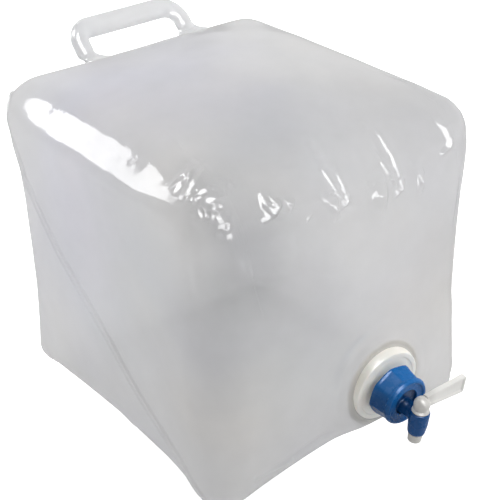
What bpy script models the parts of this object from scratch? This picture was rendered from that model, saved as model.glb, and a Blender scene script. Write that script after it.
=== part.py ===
# Collapsible water container: a soft, translucent moulded cube with a carrying
# handle on its rear top edge and a screw-on dispensing tap low on its front.
# Units are metres, +Z is up, and the origin is the middle of the base, on the
# surface that the container stands on.  The tap points along -Y.

import math

import bmesh
import bpy
from mathutils import Matrix, Vector

MM = 0.001

# ---------------------------------------------------------------- dimensions
# Bag: left, right, front and rear planes of its walls, and its heights.
BAG_X0, BAG_X1 = -139.0 * MM, 147.0 * MM
BAG_Y0, BAG_Y1 = -159.5 * MM, 158.0 * MM
BAG_TOP = 280.0 * MM          # height of the top's rim, before it swells
BAG_CROWN = 15.0 * MM         # how far the top swells above its rim
CORNER_R = 34.0 * MM          # upright corners
CORNER_R_MIN = 9.0 * MM       # the same corners where the shoulder draws in
SHOULDER_W, SHOULDER_H = 45.0 * MM, 40.0 * MM  # rounding between walls and top
BASE_R = 30.0 * MM            # rounding between walls and base
FILM = 0.6 * MM               # wall of the bag
SPLIT_TOP = 150.0 * MM        # upper rim of the lower half
SPLIT_BOTTOM = 120.0 * MM     # lower rim of the upper half, tucked inside
NEST_GAP = 0.8 * MM           # running gap between the two halves
CORNER_STEPS = 8

# Handle: it lies in the parting plane, which leans back from upright.
HANDLE_LEAN = math.radians(42.0)
HANDLE_X0, HANDLE_X1 = -40.0 * MM, 60.5 * MM   # middle of each leg
HANDLE_H = 30.5 * MM          # middle of the bar above the bag's edge
HANDLE_W = 15.5 * MM          # bar, in the plane of the loop
HANDLE_T = 11.0 * MM          # bar, across that plane
HANDLE_R0, HANDLE_R1 = 13.0 * MM, 18.0 * MM    # bend at each end

# Neck and tap.  Distances called "out" run from the front wall along the
# neck's axis, which dips by 7 degrees.
NECK_AT = Vector((16.5 * MM, BAG_Y0, 82.7 * MM))
NECK_DIP = math.radians(7.0)
TAP_TURN = math.radians(4.0)  # the tap is tightened a little past upright
GAP = 0.3 * MM

FLANGE_R = 40.0 * MM
WALL_HOLE_R = 28.0 * MM       # the film stops under the flange that is welded to it
FLANGE_OUT = 1.2 * MM
COLLAR_R = 29.6 * MM
COLLAR_OUT = 5.6 * MM
NECK_BORE_R = 12.0 * MM
NECK_OUT = 21.5 * MM

PITCH = 4.0 * MM
THREAD_H = 1.5 * MM
THREAD_CREST = 0.8 * MM
THREAD_FLANK = 0.6 * MM
NECK_ROOT_R = 14.5 * MM
NUT_ROOT_R = 16.6 * MM
TURN_STEPS = 32

NUT_REAR, NUT_RIM, NUT_FRONT = 9.5 * MM, 26.8 * MM, 28.2 * MM
NUT_REAR_R, NUT_RIM_R, NUT_FRONT_R = 22.0 * MM, 19.8 * MM, 18.0 * MM
NUT_SIDES = 8
NUT_HOLE_R = 10.7 * MM
NUT_LIP_OUT = 25.7 * MM
NUT_TURNED = math.radians(10.0)

WASHER_R0, WASHER_R1 = 11.3 * MM, 14.9 * MM
WASHER_OUT0, WASHER_OUT1 = 21.8 * MM, 23.2 * MM

TAP_FLANGE_R = 15.4 * MM
TAP_FLANGE0, TAP_FLANGE1 = 23.5 * MM, 25.4 * MM
SPIGOT_R, SPIGOT_BORE_R, SPIGOT_IN = 10.8 * MM, 9.0 * MM, 17.5 * MM
INLET_R, INLET_BORE_R, INLET_DROP = 5.9 * MM, 3.6 * MM, 4.1 * MM
BARREL_OUT = 42.0 * MM
BARREL_R, BARREL_END_R, BARREL_BORE_R = 7.6 * MM, 6.5 * MM, 5.55 * MM
BARREL_TOP, BARREL_STEP, BARREL_END = 2.0 * MM, -9.0 * MM, -18.0 * MM

PLUG_R, PLUG_BORE_R, PLUG_END = 5.4 * MM, 3.9 * MM, -26.0 * MM
DOME_R, DOME_UP = 6.9 * MM, 8.5 * MM
PORT_R = 3.1 * MM
LEVER_REACH = 43.0 * MM
LEVER_H0, LEVER_H1 = 11.0 * MM, 15.5 * MM
LEVER_UP0, LEVER_UP1 = 10.6 * MM, 11.6 * MM
LEVER_T, LEVER_WEB = 4.6 * MM, 1.8 * MM


# ------------------------------------------------------------------- helpers
def clear_scene():
    for o in list(bpy.data.objects):
        bpy.data.objects.remove(o, do_unlink=True)


def material(name, colour, roughness, metallic=0.0, alpha=1.0):
    m = bpy.data.materials.new(name)
    m.use_nodes = True
    b = m.node_tree.nodes["Principled BSDF"]
    b.inputs["Base Color"].default_value = (*colour, 1.0)
    b.inputs["Roughness"].default_value = roughness
    b.inputs["Metallic"].default_value = metallic
    b.inputs["Alpha"].default_value = alpha
    m.diffuse_color = (*colour, alpha)
    return m


def new_object(name, bm, mat=None, parent=None, matrix=None, smooth=True):
    bmesh.ops.recalc_face_normals(bm, faces=bm.faces)
    mesh = bpy.data.meshes.new(name)
    bm.to_mesh(mesh)
    bm.free()
    if smooth:
        mesh.shade_smooth()
        mesh.set_sharp_from_angle(angle=math.radians(35.0))
    o = bpy.data.objects.new(name, mesh)
    bpy.context.scene.collection.objects.link(o)
    if mat is not None:
        mesh.materials.append(mat)
    if parent is not None:
        o.parent = parent
    if matrix is not None:
        o.location, o.rotation_euler = matrix.to_translation(), matrix.to_euler()
    return o


def empty(name, matrix, parent=None):
    e = bpy.data.objects.new(name, None)
    e.empty_display_size = 0.02
    bpy.context.scene.collection.objects.link(e)
    e.location, e.rotation_euler = matrix.to_translation(), matrix.to_euler()
    if parent is not None:
        e.parent = parent
    return e


def guide(o):
    """A shape that only cuts or joins another one."""
    o.hide_render = True
    o.display_type = "WIRE"
    return o


def boolean(o, other, operation):
    m = o.modifiers.new(operation.lower(), "BOOLEAN")
    m.operation = operation
    m.solver = "EXACT"
    m.object = other
    return m


def turned(profile, steps, axis="Z"):
    """A closed (radius, height) outline spun round Z; radius 0 closes on the axis."""
    bm = bmesh.new()
    vs = [bm.verts.new((r, 0.0, h)) for r, h in profile]
    closed = all(r > 1e-9 for r, h in profile)
    es = [bm.edges.new((a, b)) for a, b in zip(vs, vs[1:])]
    if closed:
        es.append(bm.edges.new((vs[-1], vs[0])))
    bmesh.ops.spin(
        bm,
        geom=vs + es,
        cent=(0, 0, 0),
        axis=(0, 0, 1),
        dvec=(0, 0, 0),
        angle=math.tau,
        steps=steps,
        use_merge=True,
    )
    bmesh.ops.remove_doubles(bm, verts=bm.verts, dist=1e-6)
    if axis == "-Y":  # height becomes the distance out of the front wall
        bm.transform(Matrix.Rotation(math.radians(90.0), 4, "X"))
    return bm


def skin(bm, rings, close=False):
    """Quads between rings that have the same number of points."""
    made = [[bm.verts.new(p) for p in ring] for ring in rings]
    n = len(made[0])
    pairs = list(zip(made, made[1:]))
    if close:
        pairs.append((made[-1], made[0]))
    for a, b in pairs:
        for i in range(n):
            j = (i + 1) % n
            bm.faces.new((a[i], a[j], b[j], b[i]))
    return made


def bag_outline(inset, z):
    """A rounded rectangle, inset from the bag's walls, at height z."""
    x0, x1 = BAG_X0 + inset, BAG_X1 - inset
    y0, y1 = BAG_Y0 + inset, BAG_Y1 - inset
    r = max(CORNER_R - inset, CORNER_R_MIN)
    points = []
    for cx, cy, start in (
        (x1 - r, y0 + r, -90.0),
        (x1 - r, y1 - r, 0.0),
        (x0 + r, y1 - r, 90.0),
        (x0 + r, y0 + r, 180.0),
    ):
        for k in range(CORNER_STEPS + 1):
            a = math.radians(start + 90.0 * k / CORNER_STEPS)
            points.append((cx + r * math.cos(a), cy + r * math.sin(a), z))
    return points


def thread_radius(root, sign, phase, angle, out, first, last):
    """Radius of a single-start right-hand thread at one point of its wall."""
    u = ((out - PITCH * angle / math.tau) / PITCH + phase) % 1.0
    d = abs(u - 0.5) * PITCH
    half = THREAD_CREST / 2 + THREAD_FLANK
    rise = min(1.0, max(0.0, (half - d) / THREAD_FLANK))
    fade = min(1.0, max(0.0, min(out - first, last - out) / (1.2 * MM)))
    return root + sign * THREAD_H * rise * fade


# ------------------------------------------------------------------- the bag
def build_lower_half(mat):
    """An open tray: flat base, rounded foot, upright walls, hole for the neck."""
    bm = bmesh.new()
    rings = []
    steps = 5
    for k in range(steps + 1):
        a = math.radians(90.0 * k / steps)
        rings.append(bag_outline(BASE_R * (1 - math.sin(a)), BASE_R * (1 - math.cos(a))))
    rings.append(bag_outline(0.0, SPLIT_TOP))
    made = skin(bm, rings)
    bm.faces.new(list(reversed(made[0])))
    o = new_object("bladder_lower", bm, mat)
    s = o.modifiers.new("film", "SOLIDIFY")
    s.thickness = FILM
    s.offset = -1.0
    s.use_even_offset = True
    s.use_rim = True
    bm = turned([(0, -8 * MM), (WALL_HOLE_R, -8 * MM), (WALL_HOLE_R, 8 * MM), (0, 8 * MM)], 32, "-Y")
    hole = guide(new_object("neck_hole", bm, None, None, Matrix.Translation(NECK_AT)))
    boolean(o, hole, "DIFFERENCE")
    return o


def build_upper_half(mat):
    """An open-bottomed cover with a swelling top, nested in the lower half."""
    bm = bmesh.new()
    inset = FILM + NEST_GAP
    rings = [bag_outline(inset, SPLIT_BOTTOM), bag_outline(inset, BAG_TOP - SHOULDER_H)]
    steps = 6
    for k in range(1, steps + 1):
        a = math.radians(90.0 * k / steps)
        rings.append(bag_outline(
            inset + SHOULDER_W * (1 - math.cos(a)),
            BAG_TOP - SHOULDER_H + SHOULDER_H * math.sin(a),
        ))
    rim = rings[-1]
    mid = Vector(((BAG_X0 + BAG_X1) / 2, (BAG_Y0 + BAG_Y1) / 2, rim[0][2]))
    for share in (0.8, 0.55, 0.3):
        up = BAG_CROWN * (1 - share * share)
        rings.append([
            (mid.x + (p[0] - mid.x) * share, mid.y + (p[1] - mid.y) * share, mid.z + up)
            for p in rim
        ])
    made = skin(bm, rings)
    top = bm.verts.new((mid.x, mid.y, mid.z + BAG_CROWN))
    last = made[-1]
    for i in range(len(last)):
        bm.faces.new((last[i], last[(i + 1) % len(last)], top))
    o = new_object("bladder_upper", bm, mat)
    s = o.modifiers.new("film", "SOLIDIFY")
    s.thickness = FILM
    s.offset = -1.0
    s.use_even_offset = True
    s.use_rim = True
    return o


def build_handle(mat):
    """An oval bar bent into a loop, its feet splayed where they join the edge."""
    # It stands square on the rounded rear top edge of the bag.
    lean = math.atan(math.tan(math.pi / 2 - HANDLE_LEAN) * SHOULDER_H / SHOULDER_W)
    edge = Vector((
        0.0,
        BAG_Y1 - FILM - NEST_GAP - SHOULDER_W + SHOULDER_W * math.cos(lean),
        BAG_TOP - SHOULDER_H + SHOULDER_H * math.sin(lean),
    ))
    frame = Matrix.Translation(edge) @ Matrix.Rotation(-HANDLE_LEAN, 4, "X")
    # Middle line of the bar: (x, up, splay), up being along the parting plane.
    path = []
    foot = GAP
    for up, splay in ((foot, 1.0), (2.0 * MM, 0.55), (4.5 * MM, 0.22), (8.0 * MM, 0.0)):
        path.append((HANDLE_X0, up, splay))
    for k in range(7):
        a = math.radians(180.0 - 90.0 * k / 6)
        path.append((
            HANDLE_X0 + HANDLE_R0 + HANDLE_R0 * math.cos(a),
            HANDLE_H - HANDLE_R0 + HANDLE_R0 * math.sin(a),
            0.0,
        ))
    path.append(((HANDLE_X0 + HANDLE_X1) / 2, HANDLE_H, 0.0))
    for k in range(8):
        a = math.radians(90.0 - 90.0 * k / 7)
        path.append((
            HANDLE_X1 - HANDLE_R1 + HANDLE_R1 * math.cos(a),
            HANDLE_H - HANDLE_R1 + HANDLE_R1 * math.sin(a),
            0.0,
        ))
    for up, splay in ((4.5 * MM, 0.22), (2.0 * MM, 0.55), (foot, 1.0)):
        path.append((HANDLE_X1, up, splay))
    rings = []
    for i, (x, up, splay) in enumerate(path):
        a, b = path[max(i - 1, 0)], path[min(i + 1, len(path) - 1)]
        t = Vector((b[0] - a[0], 0.0, b[1] - a[1])).normalized()
        if i in (0, len(path) - 1) or splay > 0.0:
            t = Vector((0.0, 0.0, 1.0 if i < len(path) / 2 else -1.0))
        n = Vector((-t.z, 0.0, t.x))
        w = HANDLE_W / 2 + 4.5 * MM * splay
        d = HANDLE_T / 2 + 1.2 * MM * splay
        ring = []
        for k in range(14):
            q = math.tau * k / 14
            p = Vector((x, 0.0, up)) + n * (w * math.cos(q)) + Vector((0.0, d * math.sin(q), 0.0))
            ring.append(p)
        rings.append(ring)
    bm = bmesh.new()
    made = skin(bm, rings)
    bm.faces.new(made[0])
    bm.faces.new(list(reversed(made[-1])))
    return new_object("carry_handle", bm, mat, None, frame)


# ---------------------------------------------------------- the neck fitting
def build_neck(mat):
    """Weld flange flat on the wall; collar, threaded neck and bore dip 7 degrees."""
    angles = [math.tau * k / TURN_STEPS for k in range(TURN_STEPS)]

    def ring(radius, out, dip):
        points = []
        for a in angles:
            r = radius(a) if callable(radius) else radius
            points.append((
                r * math.cos(a),
                -out * math.cos(dip) - r * math.sin(a) * math.sin(dip),
                r * math.sin(a) * math.cos(dip) - out * math.sin(dip),
            ))
        return points

    d = NECK_DIP
    rings = [
        ring(NECK_BORE_R, GAP, 0.0),
        ring(FLANGE_R, GAP, 0.0),
        ring(FLANGE_R, FLANGE_OUT - 0.3 * MM, 0.0),
        ring(FLANGE_R - 0.8 * MM, FLANGE_OUT, 0.0),
        ring(COLLAR_R + 1.6 * MM, FLANGE_OUT, 0.0),
        ring(COLLAR_R + 0.2 * MM, COLLAR_OUT - 0.45 * MM, d),
        ring(COLLAR_R - 0.6 * MM, COLLAR_OUT, d),
        ring(NECK_ROOT_R + 3.5 * MM, COLLAR_OUT + 0.2 * MM, d),
        ring(NECK_ROOT_R, COLLAR_OUT + 1.0 * MM, d),
    ]
    first, last = COLLAR_OUT + 1.8 * MM, NECK_OUT - 0.8 * MM
    rows = 24
    for k in range(rows + 1):
        out = first + (last - first) * k / rows
        rings.append(ring(
            lambda a, out=out: thread_radius(NECK_ROOT_R, 1.0, 0.0, a, out, first, last),
            out, d,
        ))
    rings += [
        ring(NECK_ROOT_R - 0.5 * MM, NECK_OUT, d),
        ring(NECK_BORE_R + 0.3 * MM, NECK_OUT, d),
        ring(NECK_BORE_R, NECK_OUT - 0.4 * MM, d),
        ring(NECK_BORE_R, 4.0 * MM, d),
    ]
    bm = bmesh.new()
    skin(bm, rings, close=True)
    return new_object("neck_fitment", bm, mat, None, Matrix.Translation(NECK_AT))


def build_washer(mat, parent):
    e = 0.35 * MM
    bm = turned([
        (WASHER_R1, WASHER_OUT1 - e), (WASHER_R1, WASHER_OUT0 + e),
        (WASHER_R1 - e, WASHER_OUT0), (WASHER_R0 + e, WASHER_OUT0),
        (WASHER_R0, WASHER_OUT0 + e), (WASHER_R0, WASHER_OUT1 - e),
        (WASHER_R0 + e, WASHER_OUT1), (WASHER_R1 - e, WASHER_OUT1),
    ], TURN_STEPS, "-Y")
    return new_object("tap_washer", bm, mat, parent)


# ------------------------------------------------------------------- the nut
def build_nut(mat, parent):
    """Eight-sided screw ring, threaded inside, with a lip that holds the tap."""
    angles = [NUT_TURNED + math.tau * k / TURN_STEPS for k in range(TURN_STEPS)]
    side = math.tau / NUT_SIDES

    def ring(radius, out):
        points = []
        for a in angles:
            r = radius(a) if callable(radius) else radius
            points.append((r * math.cos(a), -out, r * math.sin(a)))
        return points

    def flats(corner_r):
        """An octagon whose corners are rounded off a little."""
        def radius(a):
            off = ((a - NUT_TURNED) % side) - side / 2
            return min(corner_r * math.cos(side / 2) / math.cos(off), corner_r * 0.985)
        return radius

    first, last = NUT_REAR + 1.1 * MM, NUT_REAR + 11.9 * MM
    rings = [
        ring(NUT_ROOT_R + 0.6 * MM, NUT_REAR),
        ring(flats(NUT_REAR_R - 0.6 * MM), NUT_REAR),
        ring(flats(NUT_REAR_R), NUT_REAR + 0.8 * MM),
        ring(flats(NUT_RIM_R), NUT_RIM),
        ring(flats(NUT_FRONT_R), NUT_FRONT),
        ring(NUT_HOLE_R + 0.5 * MM, NUT_FRONT + 0.4 * MM),
        ring(NUT_HOLE_R, NUT_FRONT),
        ring(NUT_HOLE_R, NUT_LIP_OUT),
        ring(NUT_ROOT_R, NUT_LIP_OUT),
    ]
    rows = 18
    for k in range(rows, -1, -1):
        out = first + (last - first) * k / rows
        rings.append(ring(
            lambda a, out=out: thread_radius(NUT_ROOT_R, -1.0, 0.5, a, out, first, last),
            out,
        ))
    bm = bmesh.new()
    skin(bm, rings, close=True)
    return new_object("cap_nut", bm, mat, parent)


# ------------------------------------------------------------------- the tap
def build_tap_body(mat, parent):
    """Flange and spigot, a short inlet pipe, and the upright barrel for the plug."""
    bm = turned([
        (0, SPIGOT_IN), (SPIGOT_R, SPIGOT_IN), (SPIGOT_R, TAP_FLANGE0),
        (TAP_FLANGE_R, TAP_FLANGE0), (TAP_FLANGE_R, TAP_FLANGE1),
        (0, TAP_FLANGE1),
    ], TURN_STEPS, "-Y")
    body = new_object("tap_body", bm, mat, parent)

    bm = turned([(0, TAP_FLANGE0 + 0.4 * MM), (INLET_R, TAP_FLANGE0 + 0.4 * MM),
                 (INLET_R, BARREL_OUT), (0, BARREL_OUT)], 24, "-Y")
    pipe = guide(new_object("inlet_pipe_shape", bm, None, parent,
                            Matrix.Translation((0, 0, -INLET_DROP))))
    bm = turned([
        (0, BARREL_TOP), (BARREL_R - 0.5 * MM, BARREL_TOP), (BARREL_R, BARREL_TOP - 0.5 * MM),
        (BARREL_R, BARREL_STEP), (BARREL_END_R + 0.35 * MM, BARREL_END + 1.6 * MM),
        (BARREL_END_R - 0.1 * MM, BARREL_END), (0, BARREL_END),
    ], 28)
    barrel = guide(new_object("barrel_shape", bm, None, parent,
                              Matrix.Translation((0, -BARREL_OUT, 0))))
    bm = turned([(0, SPIGOT_IN - 2 * MM), (SPIGOT_BORE_R, SPIGOT_IN - 2 * MM),
                 (SPIGOT_BORE_R, TAP_FLANGE0 - 1.2 * MM), (0, TAP_FLANGE0 - 1.2 * MM)], 28, "-Y")
    cup = guide(new_object("spigot_bore_shape", bm, None, parent))
    bm = turned([(0, SPIGOT_IN), (INLET_BORE_R, SPIGOT_IN),
                 (INLET_BORE_R, BARREL_OUT), (0, BARREL_OUT)], 20, "-Y")
    inlet = guide(new_object("inlet_bore_shape", bm, None, parent,
                             Matrix.Translation((0, 0, -INLET_DROP))))
    bm = turned([(0, BARREL_TOP + 3 * MM), (BARREL_BORE_R, BARREL_TOP + 3 * MM),
                 (BARREL_BORE_R, BARREL_END - 3 * MM), (0, BARREL_END - 3 * MM)], 28)
    bore = guide(new_object("barrel_bore_shape", bm, None, parent,
                            Matrix.Translation((0, -BARREL_OUT, 0))))
    boolean(body, pipe, "UNION")
    boolean(body, barrel, "UNION")
    boolean(body, cup, "DIFFERENCE")
    boolean(body, inlet, "DIFFERENCE")
    boolean(body, bore, "DIFFERENCE")
    return body


def build_plug(mat, parent):
    """Ported plug: open outlet below, closed dome above, lever moulded on."""
    dome = []
    for k in range(9):
        a = math.radians(90.0 - 125.0 * k / 8)
        dome.append((DOME_R * math.cos(a), DOME_UP + DOME_R * math.sin(a)))
    dome[0] = (0.0, DOME_UP + DOME_R)
    shelf = BARREL_TOP + GAP
    profile = dome + [
        (BARREL_R - 0.7 * MM, shelf + 1.3 * MM),
        (BARREL_R - 0.3 * MM, shelf + 0.9 * MM),
        (BARREL_R - 0.3 * MM, shelf),
        (PLUG_R, shelf),
        (PLUG_R, BARREL_END - 0.4 * MM),
        (PLUG_R + 0.5 * MM, BARREL_END - 0.9 * MM),
        (PLUG_R + 0.5 * MM, BARREL_END - 1.5 * MM),
        (PLUG_R, BARREL_END - 2.3 * MM),
        (PLUG_R, PLUG_END + 0.5 * MM),
        (PLUG_R - 0.5 * MM, PLUG_END),
        (PLUG_BORE_R, PLUG_END),
        (PLUG_BORE_R, 0.6 * MM),
        (0.0, 0.6 * MM),
    ]
    at = Matrix.Translation((0, -BARREL_OUT, 0))
    plug = new_object("valve_plug", turned(profile, 24), mat, parent, at)

    # Lever: a blade that deepens outwards, with a panel sunk in each side.
    bm = bmesh.new()
    x0, x1 = 4.2 * MM, LEVER_REACH
    front = [
        bm.verts.new((x0, -LEVER_T / 2, LEVER_UP0 - LEVER_H0 / 2)),
        bm.verts.new((x1, -LEVER_T / 2, LEVER_UP1 - LEVER_H1 / 2)),
        bm.verts.new((x1, -LEVER_T / 2, LEVER_UP1 + LEVER_H1 / 2)),
        bm.verts.new((x0, -LEVER_T / 2, LEVER_UP0 + LEVER_H0 / 2)),
    ]
    face = bm.faces.new(front)
    made = bmesh.ops.extrude_face_region(bm, geom=[face])
    back = [g for g in made["geom"] if isinstance(g, bmesh.types.BMVert)]
    bmesh.ops.translate(bm, verts=back, vec=(0, LEVER_T, 0))
    bmesh.ops.recalc_face_normals(bm, faces=bm.faces)
    edges = [e for e in bm.edges
             if abs(e.verts[0].co.y - e.verts[1].co.y) > 1e-4 and e.verts[0].co.x > 20 * MM]
    bmesh.ops.bevel(bm, geom=edges, offset=2.2 * MM, segments=3, profile=0.5, affect="EDGES")
    sides = [f for f in bm.faces if abs(f.normal.y) > 0.99]
    for f in sides:
        bmesh.ops.inset_region(bm, faces=[f], thickness=2.1 * MM, use_even_offset=True)
        sink = (LEVER_T - LEVER_WEB) / 2
        bmesh.ops.translate(bm, verts=list(f.verts), vec=-f.normal * sink)
    lever = guide(new_object("lever_shape", bm, None, parent, at, smooth=False))
    boolean(plug, lever, "UNION")
    bm = turned([(0, 0), (PORT_R, 0), (PORT_R, 9 * MM), (0, 9 * MM)], 16)
    bm.transform(Matrix.Rotation(math.radians(-90.0), 4, "Y"))
    port = guide(new_object("port_shape", bm, None, parent,
                            Matrix.Translation((0, -BARREL_OUT, -INLET_DROP))))
    boolean(plug, port, "DIFFERENCE")
    return plug


# ---------------------------------------------------------------------- main
def main():
    clear_scene()
    film = material("milky_film", (0.80, 0.81, 0.82), 0.28)
    film_top = material("milky_film_top", (0.84, 0.84, 0.85), 0.26)
    grip = material("milky_handle", (0.82, 0.83, 0.85), 0.30)
    white = material("white_fitting", (0.86, 0.86, 0.83), 0.35)
    rubber = material("grey_washer", (0.55, 0.55, 0.55), 0.70)
    blue = material("blue_nut", (0.02, 0.14, 0.42), 0.33)
    blue_tap = material("blue_tap", (0.02, 0.13, 0.40), 0.35)
    plug_white = material("white_plug", (0.88, 0.87, 0.85), 0.38)

    build_lower_half(film)
    build_upper_half(film_top)
    build_handle(grip)
    build_neck(white)

    # Everything on the tap turns about, or slides along, the dipping neck axis.
    neck_axis = empty("neck_axis", Matrix.Translation(NECK_AT) @ Matrix.Rotation(NECK_DIP, 4, "X"))
    tap_axis = empty("tap_axis", Matrix.Rotation(TAP_TURN, 4, "Y"), neck_axis)
    build_washer(rubber, neck_axis)
    build_nut(blue, neck_axis)
    build_tap_body(blue_tap, tap_axis)
    build_plug(plug_white, tap_axis)
    bpy.context.view_layer.update()


main()
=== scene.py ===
# Collapsible water container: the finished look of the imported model.
# Everything is in metres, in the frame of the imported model: +Z up, tap towards -Y.

import math

import bmesh
import bpy
import numpy as np
from mathutils import Matrix, Vector


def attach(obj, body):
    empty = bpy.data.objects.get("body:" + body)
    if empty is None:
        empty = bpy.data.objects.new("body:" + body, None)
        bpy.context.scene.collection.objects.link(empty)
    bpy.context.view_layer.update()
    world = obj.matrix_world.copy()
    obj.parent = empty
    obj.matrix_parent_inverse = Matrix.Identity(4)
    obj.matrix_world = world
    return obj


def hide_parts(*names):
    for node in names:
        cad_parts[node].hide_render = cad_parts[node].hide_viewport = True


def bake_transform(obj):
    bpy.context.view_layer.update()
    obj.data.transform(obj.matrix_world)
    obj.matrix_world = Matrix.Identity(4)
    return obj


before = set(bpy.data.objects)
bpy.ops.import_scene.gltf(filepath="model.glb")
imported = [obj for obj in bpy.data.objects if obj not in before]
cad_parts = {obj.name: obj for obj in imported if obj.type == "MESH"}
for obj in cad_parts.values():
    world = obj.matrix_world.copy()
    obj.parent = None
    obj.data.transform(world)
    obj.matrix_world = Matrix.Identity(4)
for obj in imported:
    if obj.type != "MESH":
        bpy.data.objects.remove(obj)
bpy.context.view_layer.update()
MM = 0.001

# ------------------------------------------------------------------- camera
CAM_AZ, CAM_EL, CAM_ROLL = (math.radians(a) for a in (-36.304218, 29.913907, -2.064589))
CAM_DIST, CAM_F = 1.0501118, 1270.76863          # metres; pixels in a 498 x 500 frame
CAM_AIM = Vector((0.00947609, -0.00380207, 0.13333261))

back = Vector((math.sin(CAM_AZ) * math.cos(CAM_EL), -math.cos(CAM_AZ) * math.cos(CAM_EL), math.sin(CAM_EL)))
CAM_POS = CAM_AIM + back * CAM_DIST
side = (-back).cross(Vector((0, 0, 1))).normalized()
rise = side.cross(-back)
CAM_R = side * math.cos(CAM_ROLL) + rise * math.sin(CAM_ROLL)
CAM_U = -side * math.sin(CAM_ROLL) + rise * math.cos(CAM_ROLL)

cam_data = bpy.data.cameras.new("camera")
cam = bpy.data.objects.new("camera", cam_data)
bpy.context.scene.collection.objects.link(cam)
cam_data.sensor_fit = "AUTO"
cam_data.sensor_width = 36.0
cam_data.lens = CAM_F * 36.0 / 500.0
cam_data.clip_start, cam_data.clip_end = 0.05, 60.0
cam.matrix_world = Matrix((
    (CAM_R.x, CAM_U.x, back.x, CAM_POS.x),
    (CAM_R.y, CAM_U.y, back.y, CAM_POS.y),
    (CAM_R.z, CAM_U.z, back.z, CAM_POS.z),
    (0, 0, 0, 1),
))
bpy.context.scene.camera = cam


def picture(X):
    """Where points of the row frame fall in the 498 x 500 frame."""
    d = X - np.array(CAM_POS)
    z = d @ np.array(-back)
    return np.stack([249 + CAM_F * (d @ np.array(CAM_R)) / z, 250 - CAM_F * (d @ np.array(CAM_U)) / z], 1)


# ------------------------------------------------------------ soft bag: shape
HALF = np.array([0.134434, 0.150880, 0.140])      # half sides of the cube
ROUND = 0.0339412                                 # rounding of its edges
BULGE = {"L": 0.00728917, "R": 0.0199703, "F": 0.012, "K": 0.02, "T": 0.0184167, "B": 0.0}
DRAW = {"LK": 0.0132465, "RF": 0.0127348, "LB": 0.0132331, "FB": 0.0164552, "KT": 0.00990151, "RT": 0.00433551}
DRAW_ELSE = -0.00280883
GRID = 512                                        # finest cells along a face
FACES = (("L", 0, 0), ("R", 0, 1), ("F", 1, 0), ("K", 1, 1), ("B", 2, 0), ("T", 2, 1))

NECK_AT = np.array([0.0165, -0.1595, 0.0827])


def box_point(P, radius):
    """The cube's surface, with its edges and corners rounded."""
    c = np.clip(P * HALF, -(HALF - radius), HALF - radius)
    d = P * HALF - c
    return c + radius * d / np.maximum(np.linalg.norm(d, axis=1, keepdims=True), 1e-9)


def bag_shape(P):
    """Swollen cube: every point of the cube's surface, -1 to 1 each way, in metres."""
    x, y, z = (box_point(P, 0.009) / HALF).T             # a slight rounding keeps the walls' pull free of kinks
    ax, ay, az = 1 - x * x, 1 - y * y, 1 - z * z
    x4, y4, z4 = x ** 4, y ** 4, z ** 4
    bx = np.where(x < 0, BULGE["L"], BULGE["R"])
    by = np.where(y < 0, BULGE["F"], BULGE["K"])
    bz = np.where(z < 0, BULGE["B"], BULGE["T"])

    def draw(a, b, c, d, first, second):
        g = [DRAW.get(k, DRAW_ELSE) for k in (a, b, c, d)]
        return np.where(first < 0, np.where(second < 0, g[0], g[1]), np.where(second < 0, g[2], g[3]))

    sxy = draw("LF", "LK", "RF", "RK", x, y)
    sxz = draw("LB", "LT", "RB", "RT", x, z)
    syz = draw("FB", "FT", "KB", "KT", y, z)
    dx = bx * ay * az - sxy * az * y4 - sxz * ay * z4
    dy = by * ax * az - sxy * az * x4 - syz * ax * z4
    dz = bz * ax * ay - sxz * ay * x4 - syz * ax * y4
    return box_point(P, ROUND) + np.stack([x * dx, y * dy, z * dz], 1) + np.array([0, 0, HALF[2]])


def smooth(t):
    t = np.clip(t, 0.0, 1.0)
    return t * t * (3 - 2 * t)


# ------------------------------------------------------- noise, fixed numbers
_rng = np.random.default_rng(11)
_perm = np.concatenate([_rng.permutation(256)] * 2)
_grad = _rng.normal(size=(256, 3))
_grad /= np.linalg.norm(_grad, axis=1, keepdims=True)


def noise(X, size, seed=0.0):
    """Smooth gradient noise, about -1 to 1, with bumps as large as size."""
    q = X / size + np.array([seed * 7.31, seed * 3.77, seed * 5.13])
    i = np.floor(q).astype(np.int64)
    f = q - i
    u = f * f * f * (f * (f * 6 - 15) + 10)
    i &= 255
    out = np.zeros(len(X))
    for a in (0, 1):
        for b in (0, 1):
            for c in (0, 1):
                h = _perm[_perm[_perm[(i[:, 0] + a) & 255] + ((i[:, 1] + b) & 255)] + ((i[:, 2] + c) & 255)]
                g = _grad[h]
                w = (u[:, 0] if a else 1 - u[:, 0]) * (u[:, 1] if b else 1 - u[:, 1]) * (u[:, 2] if c else 1 - u[:, 2])
                out += w * (g[:, 0] * (f[:, 0] - a) + g[:, 1] * (f[:, 1] - b) + g[:, 2] * (f[:, 2] - c))
    return out * 1.7


# ------------------------------------------------------ soft bag: fine points
axis_points = np.linspace(-1, 1, GRID + 1)
axis_points = 0.65 * axis_points + 0.35 * np.sin(math.pi / 2 * axis_points)

keys, sheets = [], []
n1 = GRID + 1
for name, ax, end in FACES:
    a, b = np.meshgrid(np.arange(n1), np.arange(n1), indexing="ij")
    k = np.zeros((n1, n1, 3), np.int64)
    others = [i for i in range(3) if i != ax]
    k[..., ax] = GRID * end
    k[..., others[0]] = a
    k[..., others[1]] = b
    keys.append((k[..., 0] * n1 + k[..., 1]) * n1 + k[..., 2])
flat_keys, inverse = np.unique(np.stack(keys).reshape(-1), return_inverse=True)
inverse = inverse.reshape(6, n1, n1)
KX, KY, KZ = flat_keys // (n1 * n1), (flat_keys // n1) % n1, flat_keys % n1
P = np.stack([axis_points[KX], axis_points[KY], axis_points[KZ]], 1)
X0 = bag_shape(P)
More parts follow.
